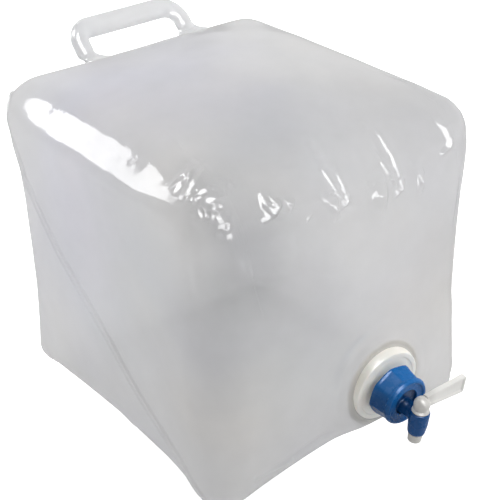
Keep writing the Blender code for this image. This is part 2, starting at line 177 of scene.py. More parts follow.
# Turn each face's grid so that its cells are wound outwards.
for fi, (name, ax, end) in enumerate(FACES):
    g = inverse[fi]
    m = GRID // 2
    e1, e2 = X0[g[m + 1, m]] - X0[g[m, m]], X0[g[m, m + 1]] - X0[g[m, m]]
    outward = np.zeros(3)
    outward[ax] = 1 if end else -1
    if np.dot(np.cross(e1, e2), outward) < 0:
        inverse[fi] = g.T


def point_normals(X):
    total = np.zeros_like(X)
    for fi in range(6):
        g = inverse[fi]
        p00, p10, p11, p01 = g[:-1, :-1], g[1:, :-1], g[1:, 1:], g[:-1, 1:]
        nn = np.cross(X[p11] - X[p00], X[p01] - X[p10]).reshape(-1, 3)
        for q in (p00, p10, p11, p01):
            q = q.reshape(-1)
            for c in range(3):
                total[:, c] += np.bincount(q, weights=nn[:, c], minlength=len(X))
    return total / np.maximum(np.linalg.norm(total, axis=1, keepdims=True), 1e-15)


N0 = point_normals(X0)

# The points that the camera sees, for placing a crease by where it shows.
_coarse = (KX % 2 == 0) & (KY % 2 == 0) & (KZ % 2 == 0)
_seen = np.nonzero(_coarse & (((np.array(CAM_POS) - X0) * N0).sum(1) > 0))[0]
_seen_px = picture(X0[_seen])


def at(px, py):
    """The point of the bag's skin that shows at this place of the 498 x 500 frame."""
    d = (_seen_px[:, 0] - px) ** 2 + (_seen_px[:, 1] - py) ** 2
    return X0[_seen[int(d.argmin())]]


def on(x, y, z):
    """The point of the bag's skin at this place of the cube's surface."""
    return bag_shape(np.array([[x, y, z]], float))[0]


# ----------------------------------------------------- soft bag: its creases
height = np.zeros(len(X0))


def stroke(points, shape="ridge"):
    """Raise or sink the skin along a line.  points are (point, height mm, width mm)."""
    pts = np.array([p for p, h, w in points])
    amp = np.array([h for p, h, w in points], float) * MM
    wid = np.array([w for p, h, w in points], float) * MM
    reach = wid.max() * (5.5 if shape == "fold" else 3.4)
    near = np.all((X0 > pts.min(0) - reach) & (X0 < pts.max(0) + reach), axis=1)
    ids = np.nonzero(near)[0]
    if not len(ids):
        return
    X = X0[ids]
    best = np.full(len(ids), 1e9)
    h = np.zeros(len(ids))
    w = np.ones(len(ids))
    sd = np.zeros(len(ids))
    for i in range(len(pts) - 1):
        e = pts[i + 1] - pts[i]
        t = np.clip(((X - pts[i]) @ e) / max(e @ e, 1e-12), 0, 1)
        off = X - (pts[i] + t[:, None] * e)
        d = np.linalg.norm(off, axis=1)
        nearer = d < best
        best = np.where(nearer, d, best)
        h = np.where(nearer, amp[i] + t * (amp[i + 1] - amp[i]), h)
        w = np.where(nearer, wid[i] + t * (wid[i + 1] - wid[i]), w)
        s = (np.cross(e, N0[ids]) * off).sum(1) / np.maximum(np.linalg.norm(e) * d, 1e-9)
        sd = np.where(nearer, s, sd)
    r = best / w
    if shape == "ridge":                      # soft crest
        f = np.exp(-r * r)
    elif shape == "seam":                     # two fine ribs side by side
        f = np.exp(-((r - 1.0) / 0.38) ** 2) + 0.3 * smooth((1.0 - r) / 0.5)
    elif shape == "step":                     # an even slope on one side, a short drop on the other
        q = np.clip(1 - r / (1 - 0.55 * smooth((sd + 1) / 2)), 0, 1)
        f = 0.6 * q + 0.4 * smooth(q)
    elif shape == "fold":                     # steep on one side, long on the other
        q = r * (1.7 - 1.15 * smooth((sd + 1) / 2))
        f = np.exp(-q * q)
    height[ids] += h * f


def crinkle(centre, size, strength, grain, seed, direction=None):
    """A patch of small sharp wrinkles; size is the patch's radius in mm."""
    c = np.asarray(centre, float)
    d = np.linalg.norm((X0 - c), axis=1) / (size * MM)
    ids = np.nonzero(d < 1.0)[0]
    if not len(ids):
        return
    q = X0[ids].copy()
    if direction is not None:                 # stretch the wrinkles along a direction
        u = np.asarray(direction, float)
        u = u / np.linalg.norm(u)
        q = q - (q @ u)[:, None] * u * 0.62
    v = noise(q, grain * MM, seed)
    v2 = noise(q, grain * MM * 0.47, seed + 3.1)
    ridged = (1 - np.abs(v) * 2.1) * 0.7 + (1 - np.abs(v2) * 2.1) * 0.22
    height[ids] += ridged * strength * MM * smooth((1 - d[ids]) * 1.6)


def line(px_list, h, w, ends=(0.0, 0.0)):
    """Stroke points from picture places: height h in the middle, ends[0] and ends[1] of it at the ends."""
    n = len(px_list)
    out = []
    for i, p in enumerate(px_list):
        t = i / (n - 1)
        k = ends[0] + (1 - ends[0]) * min(1, t * 3) if t < 0.5 else ends[1] + (1 - ends[1]) * min(1, (1 - t) * 3)
        out.append((at(*p), h * k, w))
    return out


# Slack of the film: it isn't a smooth balloon.
height += 0.9 * MM * noise(X0, 0.105, 1.0) + 0.5 * MM * noise(X0, 0.052, 2.0) + 0.12 * MM * noise(X0, 0.021, 3.0)

# Seam of the two mould halves, over the side walls from the rear top edge to the front bottom edge.
left_seam = [(-1, .97, .97), (-1, .84, .74), (-1, .68, .5), (-1, .5, .36), (-1, .28, .2), (-1, .05, .05),
             (-1, -.15, -.13), (-1, -.395, -.40), (-1, -.62, -.61), (-1, -.8, -.79), (-1, -.97, -.97)]
stroke([(on(*p), 1.6, 3.6) for p in left_seam], "seam")
right_seam = [(1, t, t) for t in np.linspace(0.97, -0.97, 15)]
stroke([(on(*p), 1.6, 3.6) for p in right_seam], "seam")
# Its thin rib along the two edges between them.
for edge in ((1, 1), (-1, -1)):
    stroke([(on(x, *edge), 1.1 * float(smooth((0.93 - abs(x)) / 0.15)), 2.0) for x in np.linspace(-0.95, 0.95, 17)], "ridge")

# The front top edge is much softer than the others.
ramp_x = np.linspace(0.60, 0.97, 13)
stroke([(on(x, -1, 1), -9.0 * float(smooth((0.97 - abs(x)) / 0.35)), 42.0) for x in (*-ramp_x[::-1], -0.3, 0.0, 0.3, *ramp_x)], "ridge")

# Where the walls and corners stand in from the plain swollen cube.
stroke([(on(-1, 1, z), h, 26.0) for z, h in ((.9, 0.0), (.6, -2.6), (.3, -5.2), (0, -5.6), (-.3, -4.0), (-.6, -1.6), (-.9, 0.0))], "ridge")
stroke([(on(1, -1, -.5), -0.8, 20.0), (on(1, -1, -.8), -4.0, 20.0), (on(1, -1, -1), -9.0, 24.0), (on(.8, -1, -1), -3.0, 20.0)], "ridge")
stroke([(on(1, y, 1), h, 20.0) for y, h in ((.9, -1.6), (.6, -2.8), (.3, -5.6), (0, -5.8), (-.3, -4.2), (-.6, 0.0), (-.8, -0.5), (-1, -3.6))], "ridge")
stroke([(on(x, 1, 1), h, 18.0) for x, h in ((-1, -1.6), (-.7, -2.4), (-.5, -1.2), (.4, -1.5), (.7, -4.4), (.95, -3.6))], "ridge")
stroke([(on(-1, y, -1), h, 20.0) for y, h in ((.95, 0.0), (.7, -3.6), (.2, -3.0), (-.3, -3.0), (-.6, -3.6), (-.85, 0.0))], "ridge")
stroke([(on(x, -1, -1), h, 18.0) for x, h in ((-.3, 0.0), (.05, -4.0), (.35, -10.0), (.7, -7.0), (.95, 0.0))], "ridge")

# Pleats that run over the front top edge.
stroke(line([(305, 124), (316, 138), (325, 150), (331, 165)], -1.6, 6.0), "ridge")
stroke(line([(300, 62), (326, 99), (341, 120), (355, 142), (360, 160)], 1.5, 8.0, (0.2, 0.5)), "ridge")


def pleat(px_list, h, w, ends=(0.3, 0.6)):
    """A fold down the picture, steep on its left side."""
    stroke(line(list(reversed(px_list)), h, w, (ends[1], ends[0])), "fold")


left_b, right_b = [(327, 160), (332, 170), (338, 182), (344, 194), (350, 206)], [(341, 162), (345, 174), (349, 188), (352, 203)]
outer_a = [(358, 111), (372, 119), (385, 130), (393, 141), (399, 152), (403, 166), (405, 178), (405, 190)]
inner_a = [(384, 149), (389, 162), (395, 175), (402, 190)]
for fold_line, soft_h, soft_w, thin_h, thin_w in ((left_b, 0.8, 5.0, 0.65, 1.6), (right_b, 0.6, 4.0, 0.55, 1.5),
                                                  (outer_a, 0.60, 5.0, 0.55, 1.7), (inner_a, 0.7, 4.0, 0.65, 1.6)):
    pleat(fold_line, soft_h, soft_w, (0.2, 0.7))
    pleat(fold_line, thin_h, thin_w, (0.2, 0.9))
stroke(line([(336, 172), (343, 187), (350, 201)], -0.7, 2.6, (0.2, 0.4)), "ridge")
stroke(line([(374, 129), (386, 145), (395, 162), (402, 182)], -1.1, 3.6, (0.2, 0.4)), "ridge")
for fold_line, h, w in (([(331, 198), (336, 207), (342, 217)], 1.7, 3.6), ([(267, 190), (272, 203), (282, 217)], 2.2, 4.8),
                        ([(275, 191), (281, 202), (285, 214)], 1.3, 2.8), ([(292, 198), (297, 204), (301, 208)], 1.3, 2.6),
                        ([(421, 168), (424, 178), (426, 188)], 1.0, 3.0), ([(444, 116), (452, 125), (457, 138), (456, 149), (450, 156)], 2.0, 4.0)):
    pleat(fold_line, h, w, (0.4, 0.6))
# The lower ends of the folds, where the film is tucked in: a slope that faces up and to the picture's left.
for fold_line, h, w in (([(384, 209), (386, 197), (388, 184)], 4.8, 14.0),
                        ([(399, 197), (404, 191), (408, 184)], 2.1, 4.0), ([(344, 212), (349, 206), (354, 198)], 2.0, 3.8),
                        ([(273, 221), (279, 214), (285, 203)], 2.9, 6.5), ([(339, 219), (340, 210), (342, 201)], 1.9, 4.8),
                        ([(424, 191), (425, 183), (427, 174)], 2.4, 4.8),
                        ([(297, 211), (299, 205), (300, 199)], 0.9, 3.0), ([(312, 223), (314, 221), (317, 218)], 0.9, 1.8),
                        ([(449, 155), (454, 149), (458, 141)], 2.2, 3.6)):
    stroke(line(fold_line, h, w, (0.5, 0.5)), "step")
crinkle(at(379, 191), 13, 0.38, 6.5, 4.0)
crinkle(at(397, 178), 12, 0.45, 5.0, 14.0)
crinkle(at(345, 192), 11, 0.40, 5.0, 15.0)
crinkle(at(278, 206), 10, 0.45, 5.0, 6.0)

# The left front top corner, where the film is bunched.
stroke([(at(222, 238), -2.2, 15.0), (at(232, 262), -1.2, 15.0)], "ridge")
stroke([(at(x, y), h, 14.0) for x, y, h in ((80, 141, 0.0), (100, 152, -0.35), (120, 163, -0.9), (142, 171, -1.5), (156, 179, -1.0), (172, 188, 0.0))], "ridge")
stroke([(at(x, y), h, 8.5) for x, y, h in ((132, 182, 0.0), (150, 188, 0.7), (168, 196, 1.2), (184, 203, 1.0), (200, 206, 0.0))], "ridge")
stroke(line([(170, 186), (184, 176), (200, 159)], 2.0, 5.0, (0.4, 0.2)), "step")
stroke(line([(186, 196), (194, 180), (203, 163)], 2.2, 5.0, (0.5, 0.2)), "step")
stroke(line([(178, 192), (186, 180), (191, 170)], -1.4, 2.6, (0.3, 0.3)), "ridge")
crinkle(at(208, 200), 18, 2.1, 12.0, 5.0)
crinkle(at(225, 178), 14, 0.35, 5.0, 9.0)
crinkle(at(222, 222), 14, 0.7, 9.0, 21.0)
crinkle(at(92, 130), 16, 0.50, 14.0, 12.0)
crinkle(at(124, 148), 24, 0.40, 22.0, 31.0)
crinkle(at(58, 116), 18, 0.30, 16.0, 33.0)

# Slack in the front wall and the side, and the line above the front bottom edge.
stroke(line([(257, 480), (290, 460), (323, 437), (352, 421), (376, 409)], 1.6, 1.8, (0.5, 0.2)), "ridge")
stroke(line([(257, 477), (290, 457), (323, 434), (352, 418), (376, 406)], -1.0, 2.0, (0.5, 0.2)), "ridge")
stroke(line([(200, 325), (235, 318), (270, 320), (300, 327)], 0.7, 7.0), "ridge")
stroke(line([(262, 285), (280, 270), (300, 268), (325, 268), (350, 262)], 0.8, 7.0), "ridge")
stroke(line([(449, 271), (443, 292), (434, 315)], 0.7, 3.0), "ridge")
stroke(line([(96, 262), (108, 274)], 0.4, 4.0), "ridge")
stroke(line([(164, 264), (176, 276)], 0.4, 4.0), "ridge")
stroke([(on(1, -.97, .30), 1.6, 9.0), (on(1, -.9, .30), 1.2, 9.0), (on(1, -.7, .28), 0.0, 9.0)], "ridge")
stroke([(on(1, -.97, .12), -1.4, 5.0), (on(1, -.9, .12), -0.8, 5.0), (on(1, -.7, .12), 0.0, 5.0)], "ridge")

# The same kind of creases where the picture doesn't reach: rear wall, right wall, edges.
hidden = np.random.default_rng(29)
for face, edge in (("K", "KT"), ("K", "LK"), ("K", "RK"), ("R", "RT"), ("R", "RF"), ("R", "RB"), ("K", "KB"), ("L", "LB")):
    for _ in range(5):
        s = hidden.uniform(-0.8, 0.8)
        reach = hidden.uniform(0.1, 0.35)
        slant = hidden.uniform(-0.12, 0.12)
        h = hidden.uniform(0.5, 1.3) * (1 if hidden.uniform() > 0.3 else -1)
        w = hidden.uniform(4.0, 8.0)
        line_points = []
        for k in range(5):
            t = k / 4
            v = 1 - reach * t
            q = s + slant * t
            p = {
                "KT": (q, 1, v), "LK": (-v, 1, q), "RK": (v, 1, q), "RT": (1, q, v),
                "RF": (1, -v, q), "RB": (1, q, -v), "KB": (q, 1, -v), "LB": (-1, q, -v),
            }[edge]
            line_points.append((on(*p), h * math.sin(math.pi * min(1, 0.25 + t * 0.75)), w))
        stroke(line_points, "ridge")

# No crease reaches the ground or the fitting.
neck_r = np.linalg.norm((X0 - NECK_AT)[:, [0, 2]], axis=1)
in_front = X0[:, 1] < -0.10
height *= smooth((X0[:, 2] - 0.004) / 0.02)
height *= np.where(in_front, smooth((neck_r - 0.036) / 0.022), 1.0)
X1 = X0 + N0 * height[:, None]

# Flat ring round the neck, with the boss that the film makes over the weld flange.
flat = np.where(in_front, 1 - smooth((neck_r - 0.041) / 0.022), 0.0) * smooth((X0[:, 2] - 0.036) / 0.018)
r = neck_r / MM
boss = 1.6 * smooth((46.0 - r) / 9.0) + 0.75 * smooth((32.6 - r) / 1.5) - 1.6 * smooth((30.6 - r) / 1.0)
X1[:, 1] = X1[:, 1] * (1 - flat) + flat * (NECK_AT[1] + 0.0002)
X1[:, 1] -= np.where(in_front, boss * MM, 0.0)
X1[:, 2] = np.maximum(X1[:, 2], 0.0)
N1 = point_normals(X1)

# --------------------------------------------------- soft bag: adaptive mesh
LIMIT = 190000


def refine(tolerance):
    """Cells of 8, 4, 2 or 1 fine steps: small where the skin is creased."""
    leaf = []                                            # per face: size of the leaf at each fine cell
    for fi in range(6):
        g = inverse[fi]
        size = np.full((GRID // 8, GRID // 8), 8)
        size = np.kron(size, np.ones((8, 8), int))
        X = X1[g]
        N = N1[g]
        for s in (8, 4, 2):
            m = GRID // s
            c00, c10, c01, c11 = X[:-1:s, :-1:s], X[s::s, :-1:s], X[:-1:s, s::s], X[s::s, s::s]
            n00, n10, n01, n11 = N[:-1:s, :-1:s], N[s::s, :-1:s], N[:-1:s, s::s], N[s::s, s::s]
            err = np.zeros((m, m))
            for i in range(0, s + 1, max(1, s // 4)):
                for j in range(0, s + 1, max(1, s // 4)):
                    if i in (0, s) and j in (0, s):
                        continue
                    a, b = i / s, j / s
                    flat_p = c00 * (1 - a) * (1 - b) + c10 * a * (1 - b) + c01 * (1 - a) * b + c11 * a * b
                    true = X[i:i + GRID - s + 1:s, j:j + GRID - s + 1:s]
                    nn = n00 * (1 - a) * (1 - b) + n10 * a * (1 - b) + n01 * (1 - a) * b + n11 * a * b
                    tn = N[i:i + GRID - s + 1:s, j:j + GRID - s + 1:s]
                    err = np.maximum(err, np.linalg.norm(true - flat_p, axis=2)
                                     + 0.0011 * np.linalg.norm(tn - nn, axis=2))
            err *= np.where((c00[..., 1] < -0.085) & (c00[..., 2] > 0.225), 2.2, 1.0) * np.where(c00[..., 1] > 0.10, 0.6, 1.0)
            split = np.kron(err > tolerance, np.ones((s, s), bool)).astype(bool) & (size == s)
            size[split] = s // 2
        leaf.append(size)
    return leaf


def balance(leaf):
    """No cell next to one under half its size, over the cube's edges too."""
    while True:
        used = np.zeros(len(X0), bool)
        for fi in range(6):
            g, size = inverse[fi], leaf[fi]
            for s in (8, 4, 2, 1):
                m = GRID // s
                own = size[::s, ::s] == s
                i, j = np.nonzero(own)
                for a, b in ((0, 0), (s, 0), (0, s), (s, s)):
                    used[g[i * s + a, j * s + b]] = True
        changed = 0
        for fi in range(6):
            g, size = inverse[fi], leaf[fi]
            for s in (8, 4):
                i, j = np.nonzero(size[::s, ::s] == s)
                i, j = i * s, j * s
                bad = np.zeros(len(i), bool)
                for k in range(1, s):
                    if k == s // 2:
                        continue
                    bad |= used[g[i + k, j]] | used[g[i + k, j + s]] | used[g[i, j + k]] | used[g[i + s, j + k]]
                for a, b in zip(i[bad], j[bad]):
                    size[a:a + s, b:b + s] = s // 2
                changed += int(bad.sum())
        if not changed:
            return used


def cells(leaf, used):
    quads, tris = [], []
    for fi in range(6):
        g, size = inverse[fi], leaf[fi]
        for s in (8, 4, 2, 1):
            i, j = np.nonzero(size[::s, ::s] == s)
            i, j = i * s, j * s
            c = [g[i, j], g[i + s, j], g[i + s, j + s], g[i, j + s]]
            if s == 1:
                quads.append(np.stack(c, 1))
                continue
            h = s // 2
            mids = [g[i + h, j], g[i + s, j + h], g[i + h, j + s], g[i, j + h]]
            has = [used[m] for m in mids]
            plain = ~(has[0] | has[1] | has[2] | has[3])
            quads.append(np.stack([q[plain] for q in c], 1))
            centre = g[i + h, j + h]
            for k in range(4):
                a, b, m = c[k], c[(k + 1) % 4], mids[k]
                y = ~plain & has[k]
                z = ~plain & ~has[k]
                tris.append(np.stack([a[y], m[y], centre[y]], 1))
                tris.append(np.stack([m[y], b[y], centre[y]], 1))
                tris.append(np.stack([a[z], b[z], centre[z]], 1))
    return np.concatenate(quads), np.concatenate(tris)


tolerance = 0.00011
while True:
    leaf = refine(tolerance)
    used = balance(leaf)
    quads, tris = cells(leaf, used)
    if 2 * len(quads) + len(tris) < LIMIT:
        break
    tolerance *= 1.12

# The hole in the film under the collar, so that the neck opens into the bag.
HOLE_R = 27.0 * MM


def outside_hole(f):
    c = X1[f].mean(1)
    return ~((np.linalg.norm((c - NECK_AT)[:, [0, 2]], axis=1) < HOLE_R) & (c[:, 1] < -0.10))


quads, tris = quads[outside_hole(quads)], tris[outside_hole(tris)]
kept = np.unique(np.concatenate([quads.reshape(-1), tris.reshape(-1)]))
new_id = np.full(len(X0), -1)
new_id[kept] = np.arange(len(kept))
skin_mesh = bpy.data.meshes.new("soft_bag")
loops = np.concatenate([new_id[quads].reshape(-1), new_id[tris].reshape(-1)]).astype(np.int32)
starts = np.concatenate([np.arange(len(quads)) * 4, len(quads) * 4 + np.arange(len(tris)) * 3]).astype(np.int32)
skin_mesh.vertices.add(len(kept))
skin_mesh.vertices.foreach_set("co", X1[kept].astype(np.float32).reshape(-1))
skin_mesh.loops.add(len(loops))
skin_mesh.loops.foreach_set("vertex_index", loops)
skin_mesh.polygons.add(len(starts))
skin_mesh.polygons.foreach_set("loop_start", starts)
skin_mesh.update(calc_edges=True)
skin_mesh.validate()

# A clean round rim to that hole.
bm = bmesh.new()
bm.from_mesh(skin_mesh)
for v in bm.verts:
    if v.is_boundary:
        d = Vector((v.co.x - NECK_AT[0], v.co.z - NECK_AT[2]))
        d *= HOLE_R / d.length
        v.co.x, v.co.z = NECK_AT[0] + d.x, NECK_AT[2] + d.y
bm.to_mesh(skin_mesh)
bm.free()
skin_mesh.shade_smooth()
normals = N1[kept]
skin_mesh.normals_split_custom_set_from_vertices([tuple(v) for v in normals])
bag = bpy.data.objects.new("soft_bag", skin_mesh)
bpy.context.scene.collection.objects.link(bag)
print("bag", len(skin_mesh.vertices), "points", 2 * len(quads) + len(tris), "triangles, tolerance mm", tolerance / MM)

# ------------------------------------------------------------------- helpers
def add_object(name, bm, matrix=None, angle=40.0):
    bmesh.ops.recalc_face_normals(bm, faces=bm.faces)
    mesh = bpy.data.meshes.new(name)
    bm.to_mesh(mesh)
    bm.free()
    mesh.shade_smooth()
    mesh.set_sharp_from_angle(angle=math.radians(angle))
    o = bpy.data.objects.new(name, mesh)
    bpy.context.scene.collection.objects.link(o)
    if matrix is not None:
        o.matrix_world = matrix
    return o


def skin_rings(bm, rings, close=False, caps=False):
    """Quads between rings that have the same number of points."""
    made = [[bm.verts.new(p) for p in ring] for ring in rings]
    n = len(made[0])
    pairs = list(zip(made, made[1:]))
    if close:
        pairs.append((made[-1], made[0]))
    for a, b in pairs:
        for i in range(n):
            j = (i + 1) % n
            bm.faces.new((a[i], a[j], b[j], b[i]))
    if caps:
        bm.faces.new(made[0])
        bm.faces.new(list(reversed(made[-1])))
    return made


def spun(profile, steps, out=False):
    """A closed (radius, height) outline spun round Z, or round the out axis."""
    bm = bmesh.new()
    rings = []
    for r, h in profile:
        ring = []
        for k in range(steps):
            a = math.tau * k / steps
            x, y = max(r, 0.0) * math.cos(a), max(r, 0.0) * math.sin(a)
            ring.append((x, -h, y) if out else (x, y, h))
        rings.append(ring)
    skin_rings(bm, rings, close=all(r > 1e-9 for r, h in profile))
    bmesh.ops.remove_doubles(bm, verts=bm.verts, dist=1e-6)
    return bm


def rounded(profile, radius, steps=4, closed=True):
    """The outline with each corner rounded; a point may carry its own radius."""
    pts = [p if len(p) == 3 else (p[0], p[1], radius) for p in profile]
    out = []
    n = len(pts)
    for i, (x, y, rr) in enumerate(pts):
        if (not closed and i in (0, n - 1)) or rr <= 0:
            out.append((x, y))
            continue
        p = Vector((x, y))
        a = Vector(pts[i - 1][:2]) - p
        b = Vector(pts[(i + 1) % n][:2]) - p
        half = a.angle(b) / 2
        cut = min(rr / math.tan(half), a.length * 0.45, b.length * 0.45)
        s, e = p + a.normalized() * cut, p + b.normalized() * cut
        for k in range(steps + 1):
            t = k / steps
            out.append(tuple(s * (1 - t) ** 2 + p * (2 * t * (1 - t)) + e * t ** 2))
    return out


def mix(a, b, t):
    return a + (b - a) * t


# -------------------------------------------------------------------- handle
HANDLE_LEAN = math.radians(42.0)
HANDLE_X0, HANDLE_X1, HANDLE_H = -40.0 * MM, 60.5 * MM, 30.5 * MM
HANDLE_W, HANDLE_T = 15.5 * MM, 11.0 * MM
HANDLE_R0, HANDLE_R1 = 13.0 * MM, 18.0 * MM
_lean = math.atan(math.tan(math.pi / 2 - HANDLE_LEAN) * 40.0 / 45.0)
HANDLE_FRAME = (
    Matrix.Translation((0.0, (158.0 - 1.4 - 45.0 + 45.0 * math.cos(_lean)) * MM, (240.0 + 40.0 * math.sin(_lean)) * MM))
    @ Matrix.Rotation(-HANDLE_LEAN, 4, "X")
)


def bag_rim(x):
    """How high the bag's rear top edge comes in the plane of the loop, at x."""
    inv = np.array(HANDLE_FRAME.inverted())
    near = np.nonzero((np.abs(X1[:, 0] - x) < 0.003) & (X1[:, 1] > 0.10) & (X1[:, 2] > 0.20))[0]
    q = X1[near] @ inv[:3, :3].T + inv[:3, 3]
    good = np.abs(q[:, 1]) < 0.002
    return float(q[good, 2].max())


def build_handle():
    """Hollow oval tube bent into a loop; its closed ends stand on thin pinched webs that spread into the edge."""
    rings = []
    sides = 56
    rims = {x: bag_rim(x) for x in (-0.045, -0.035, -0.02, 0.052, 0.065, 0.08)}
    base0 = (rims[-0.045] + rims[-0.035] + rims[-0.02]) / 3
    base1 = (rims[0.052] + rims[0.065] + rims[0.08]) / 3

    def leg(x_mid, up, base, left):
        u = up - base - 11.5 * MM                        # height over the bag's edge
        xl, xr = x_mid - HANDLE_W / 2, x_mid + HANDLE_W / 2
        if left:
            xl += 4.2 * MM * smooth((9 * MM - u) / (9 * MM))
            xr += 14.0 * MM * max(0.0, 1 - max(u, 0.0) / (11 * MM)) ** 2.6 + (2.0 * MM if u < 0 else 0.0)
        else:
            xl -= 2.5 * MM * max(0.0, 1 - max(u, 0.0) / (6 * MM)) ** 2.0
            xr += 13.0 * MM * max(0.0, 1 - max(u, 0.0) / (12 * MM)) ** 2.4 + (2.0 * MM if u < 0 else 0.0)
        ring = []
        for k in range(sides):
            a = math.tau * k / sides
            c = math.cos(a)
            x = (xl + xr) / 2 + (xr - xl) / 2 * c
            q = (x - x_mid) / (HANDLE_W / 2)
            end = max(0.0, min(1.0, (u - 3.2 * MM - 2.2 * MM * q * q) / (6.0 * MM)))
            tube = 0.0
            if abs(q) < 1:
                tube = HANDLE_T / 2 * math.sqrt(1 - q * q) * math.sqrt(1 - (1 - end) ** 2)
            web = 1.9 * MM * math.sqrt(max(0.0, 1 - abs(c) ** 5))
            web *= 1 + 0.9 * smooth(1 - u / (3.0 * MM))          # a little thicker where it runs into the bag
            t = (tube ** 3 + web ** 3) ** (1 / 3)
            ring.append((x, math.copysign(t, math.sin(a)) if abs(math.sin(a)) > 1e-9 else 0.0, up))
        return ring

    def bar(x, up, tx, tz):
        n = (-tz, tx)                                     # in the plane, towards the outside of the loop
        ring = []
        for k in range(sides):
            a = math.tau * k / sides
            w, t = HANDLE_W / 2 * math.cos(a), HANDLE_T / 2 * 1.004 * math.sin(a)
            if w < 0:
                w *= 1 + 0.33 * max(0.0, n[1]) ** 2          # the bar hangs a little deeper on its inner side
            ring.append((x + n[0] * w, t, up + n[1] * w))
        return ring

    top0, top1 = HANDLE_H - HANDLE_R0, HANDLE_H - HANDLE_R1
    ups = list(np.linspace(base0 - 3.0 * MM, base0 + 10.5 * MM, 8)) + list(np.linspace(base0 + 11.5 * MM, base0 + 23.0 * MM, 44))
    ups += list(np.linspace(base0 + 23.0 * MM, top0, 5))[1:] if top0 > base0 + 23.5 * MM else []
    for up in ups:
        rings.append(leg(HANDLE_X0, up, base0, True)[::1])
    # On the left leg a positive cosine points to the right, into the loop; the bar's points out of it.
    rings = [[r[(sides // 2 - k) % sides] for k in range(sides)] for r in rings]
    for k in range(1, 17):
        a = math.radians(180.0 - 90.0 * k / 16)
        rings.append(bar(HANDLE_X0 + HANDLE_R0 + HANDLE_R0 * math.cos(a), top0 + HANDLE_R0 * math.sin(a),
                         math.sin(a), -math.cos(a)))
    x0, x1 = HANDLE_X0 + HANDLE_R0, HANDLE_X1 - HANDLE_R1
    for k in range(1, 16):
        rings.append(bar(mix(x0, x1, k / 16), HANDLE_H, 1.0, 0.0))
    for k in range(0, 20):
        a = math.radians(90.0 - 90.0 * k / 20)
        rings.append(bar(x1 + HANDLE_R1 * math.cos(a), top1 + HANDLE_R1 * math.sin(a), math.sin(a), -math.cos(a)))
    ups = list(np.linspace(top1, base1 + 23.5 * MM, 3)) if top1 > base1 + 23.6 * MM else []
    ups += list(np.linspace(min(base1 + 23.0 * MM, top1), base1 + 11.5 * MM, 44)) + list(np.linspace(base1 + 10.5 * MM, base1 - 3.0 * MM, 8))
    for up in ups:
        rings.append(leg(HANDLE_X1, up, base1, False))
    bm = bmesh.new()
    made = skin_rings(bm, rings, caps=True)
    o = add_object("handle_loop", bm, HANDLE_FRAME, 60)
    return o, made


handle, _ = build_handle()

# ------------------------------------------------------------ neck and thread
NECK_DIP, TAP_TURN = math.radians(7.0), math.radians(4.0)
NECK_FRAME = Matrix.Translation(Vector(NECK_AT)) @ Matrix.Rotation(NECK_DIP, 4, "X")
TAP_FRAME = NECK_FRAME @ Matrix.Rotation(TAP_TURN, 4, "Y")
PITCH, THREAD_H, CREST, FLANK = 4.0, 1.5, 0.8, 0.6


def thread_radius(root, sign, phase, angle, out, first, last):
    u = ((out - PITCH * angle / math.tau) / PITCH + phase) % 1.0
    d = abs(u - 0.5) * PITCH
    rise = min(1.0, max(0.0, (CREST / 2 + FLANK - d) / FLANK))
    rise = rise * rise * (3 - 2 * rise)
    fade = min(1.0, max(0.0, min(out - first, last - out) / 1.2))
    return root + sign * THREAD_H * rise * fade


def build_neck():
    steps = 144
    angles = [math.tau * k / steps for k in range(steps)]

    front_skin = X1[(X1[:, 1] < -0.06) & (np.abs(neck_r - 0.035) < 0.009)]

    def behind_film(x, z):
        """How far the flange bends back to stay under the film."""
        d = (front_skin[:, 0] - NECK_AT[0] - x) ** 2 + (front_skin[:, 2] - NECK_AT[2] - z) ** 2
        return max(0.0, float(front_skin[int(d.argmin()), 1]) - NECK_AT[1] + 1.5 * MM)

    def ring(radius, out, dip):
        points = []
        for a in angles:
            q = (radius(a) if callable(radius) else radius) * MM
            if dip == 0.0 and q > 31.0 * MM:
                points.append((q * math.cos(a), -out * MM + behind_film(q * math.cos(a), q * math.sin(a)), q * math.sin(a)))
                continue
            points.append((
                q * math.cos(a),
                -out * MM * math.cos(dip) - q * math.sin(a) * math.sin(dip),
                q * math.sin(a) * math.cos(dip) - out * MM * math.sin(dip),
            ))
        return points

    d = NECK_DIP
    rings = [ring(12.0, 0.3, 0.0), ring(20.0, 0.3, 0.0), ring(35.6, 0.3, 0.0), ring(36.0, 0.6, 0.0), ring(35.7, 1.0, 0.0),
             ring(35.0, 1.2, 0.0), ring(33.0, 1.2, 0.0), ring(31.6, 1.2, 0.0), ring(31.1, 1.25, 0.0)]
    # Collar: a low conical wall, a rounded shoulder, a shallow dish and the foot of the neck.
    for q, o in rounded([(30.9, 2.0, 0), (29.85, 5.7, 0.9), (26.4, 5.75, 0.5), (25.6, 5.35, 0.4), (18.6, 5.75, 0.8),
                         (14.5, 7.0, 0)], 0.5, 5, closed=False):
        rings.append(ring(q, o, d))
    first, last = 7.4, 20.7
    rows = 72
    for k in range(rows + 1):
        out = first + (last - first) * k / rows
        rings.append(ring(lambda a, out=out: thread_radius(14.5, 1.0, 0.0, a, out, first, last), out, d))
    for q, o in ((14.35, 21.2), (14.0, 21.45), (13.6, 21.5), (12.5, 21.5), (12.15, 21.4), (12.0, 21.1), (12.0, 12.0), (12.0, 4.0)):
        rings.append(ring(q, o, d))
    bm = bmesh.new()
    skin_rings(bm, rings, close=True)
    return add_object("neck_and_collar", bm, Matrix.Translation(Vector(NECK_AT)), 50)


neck = build_neck()


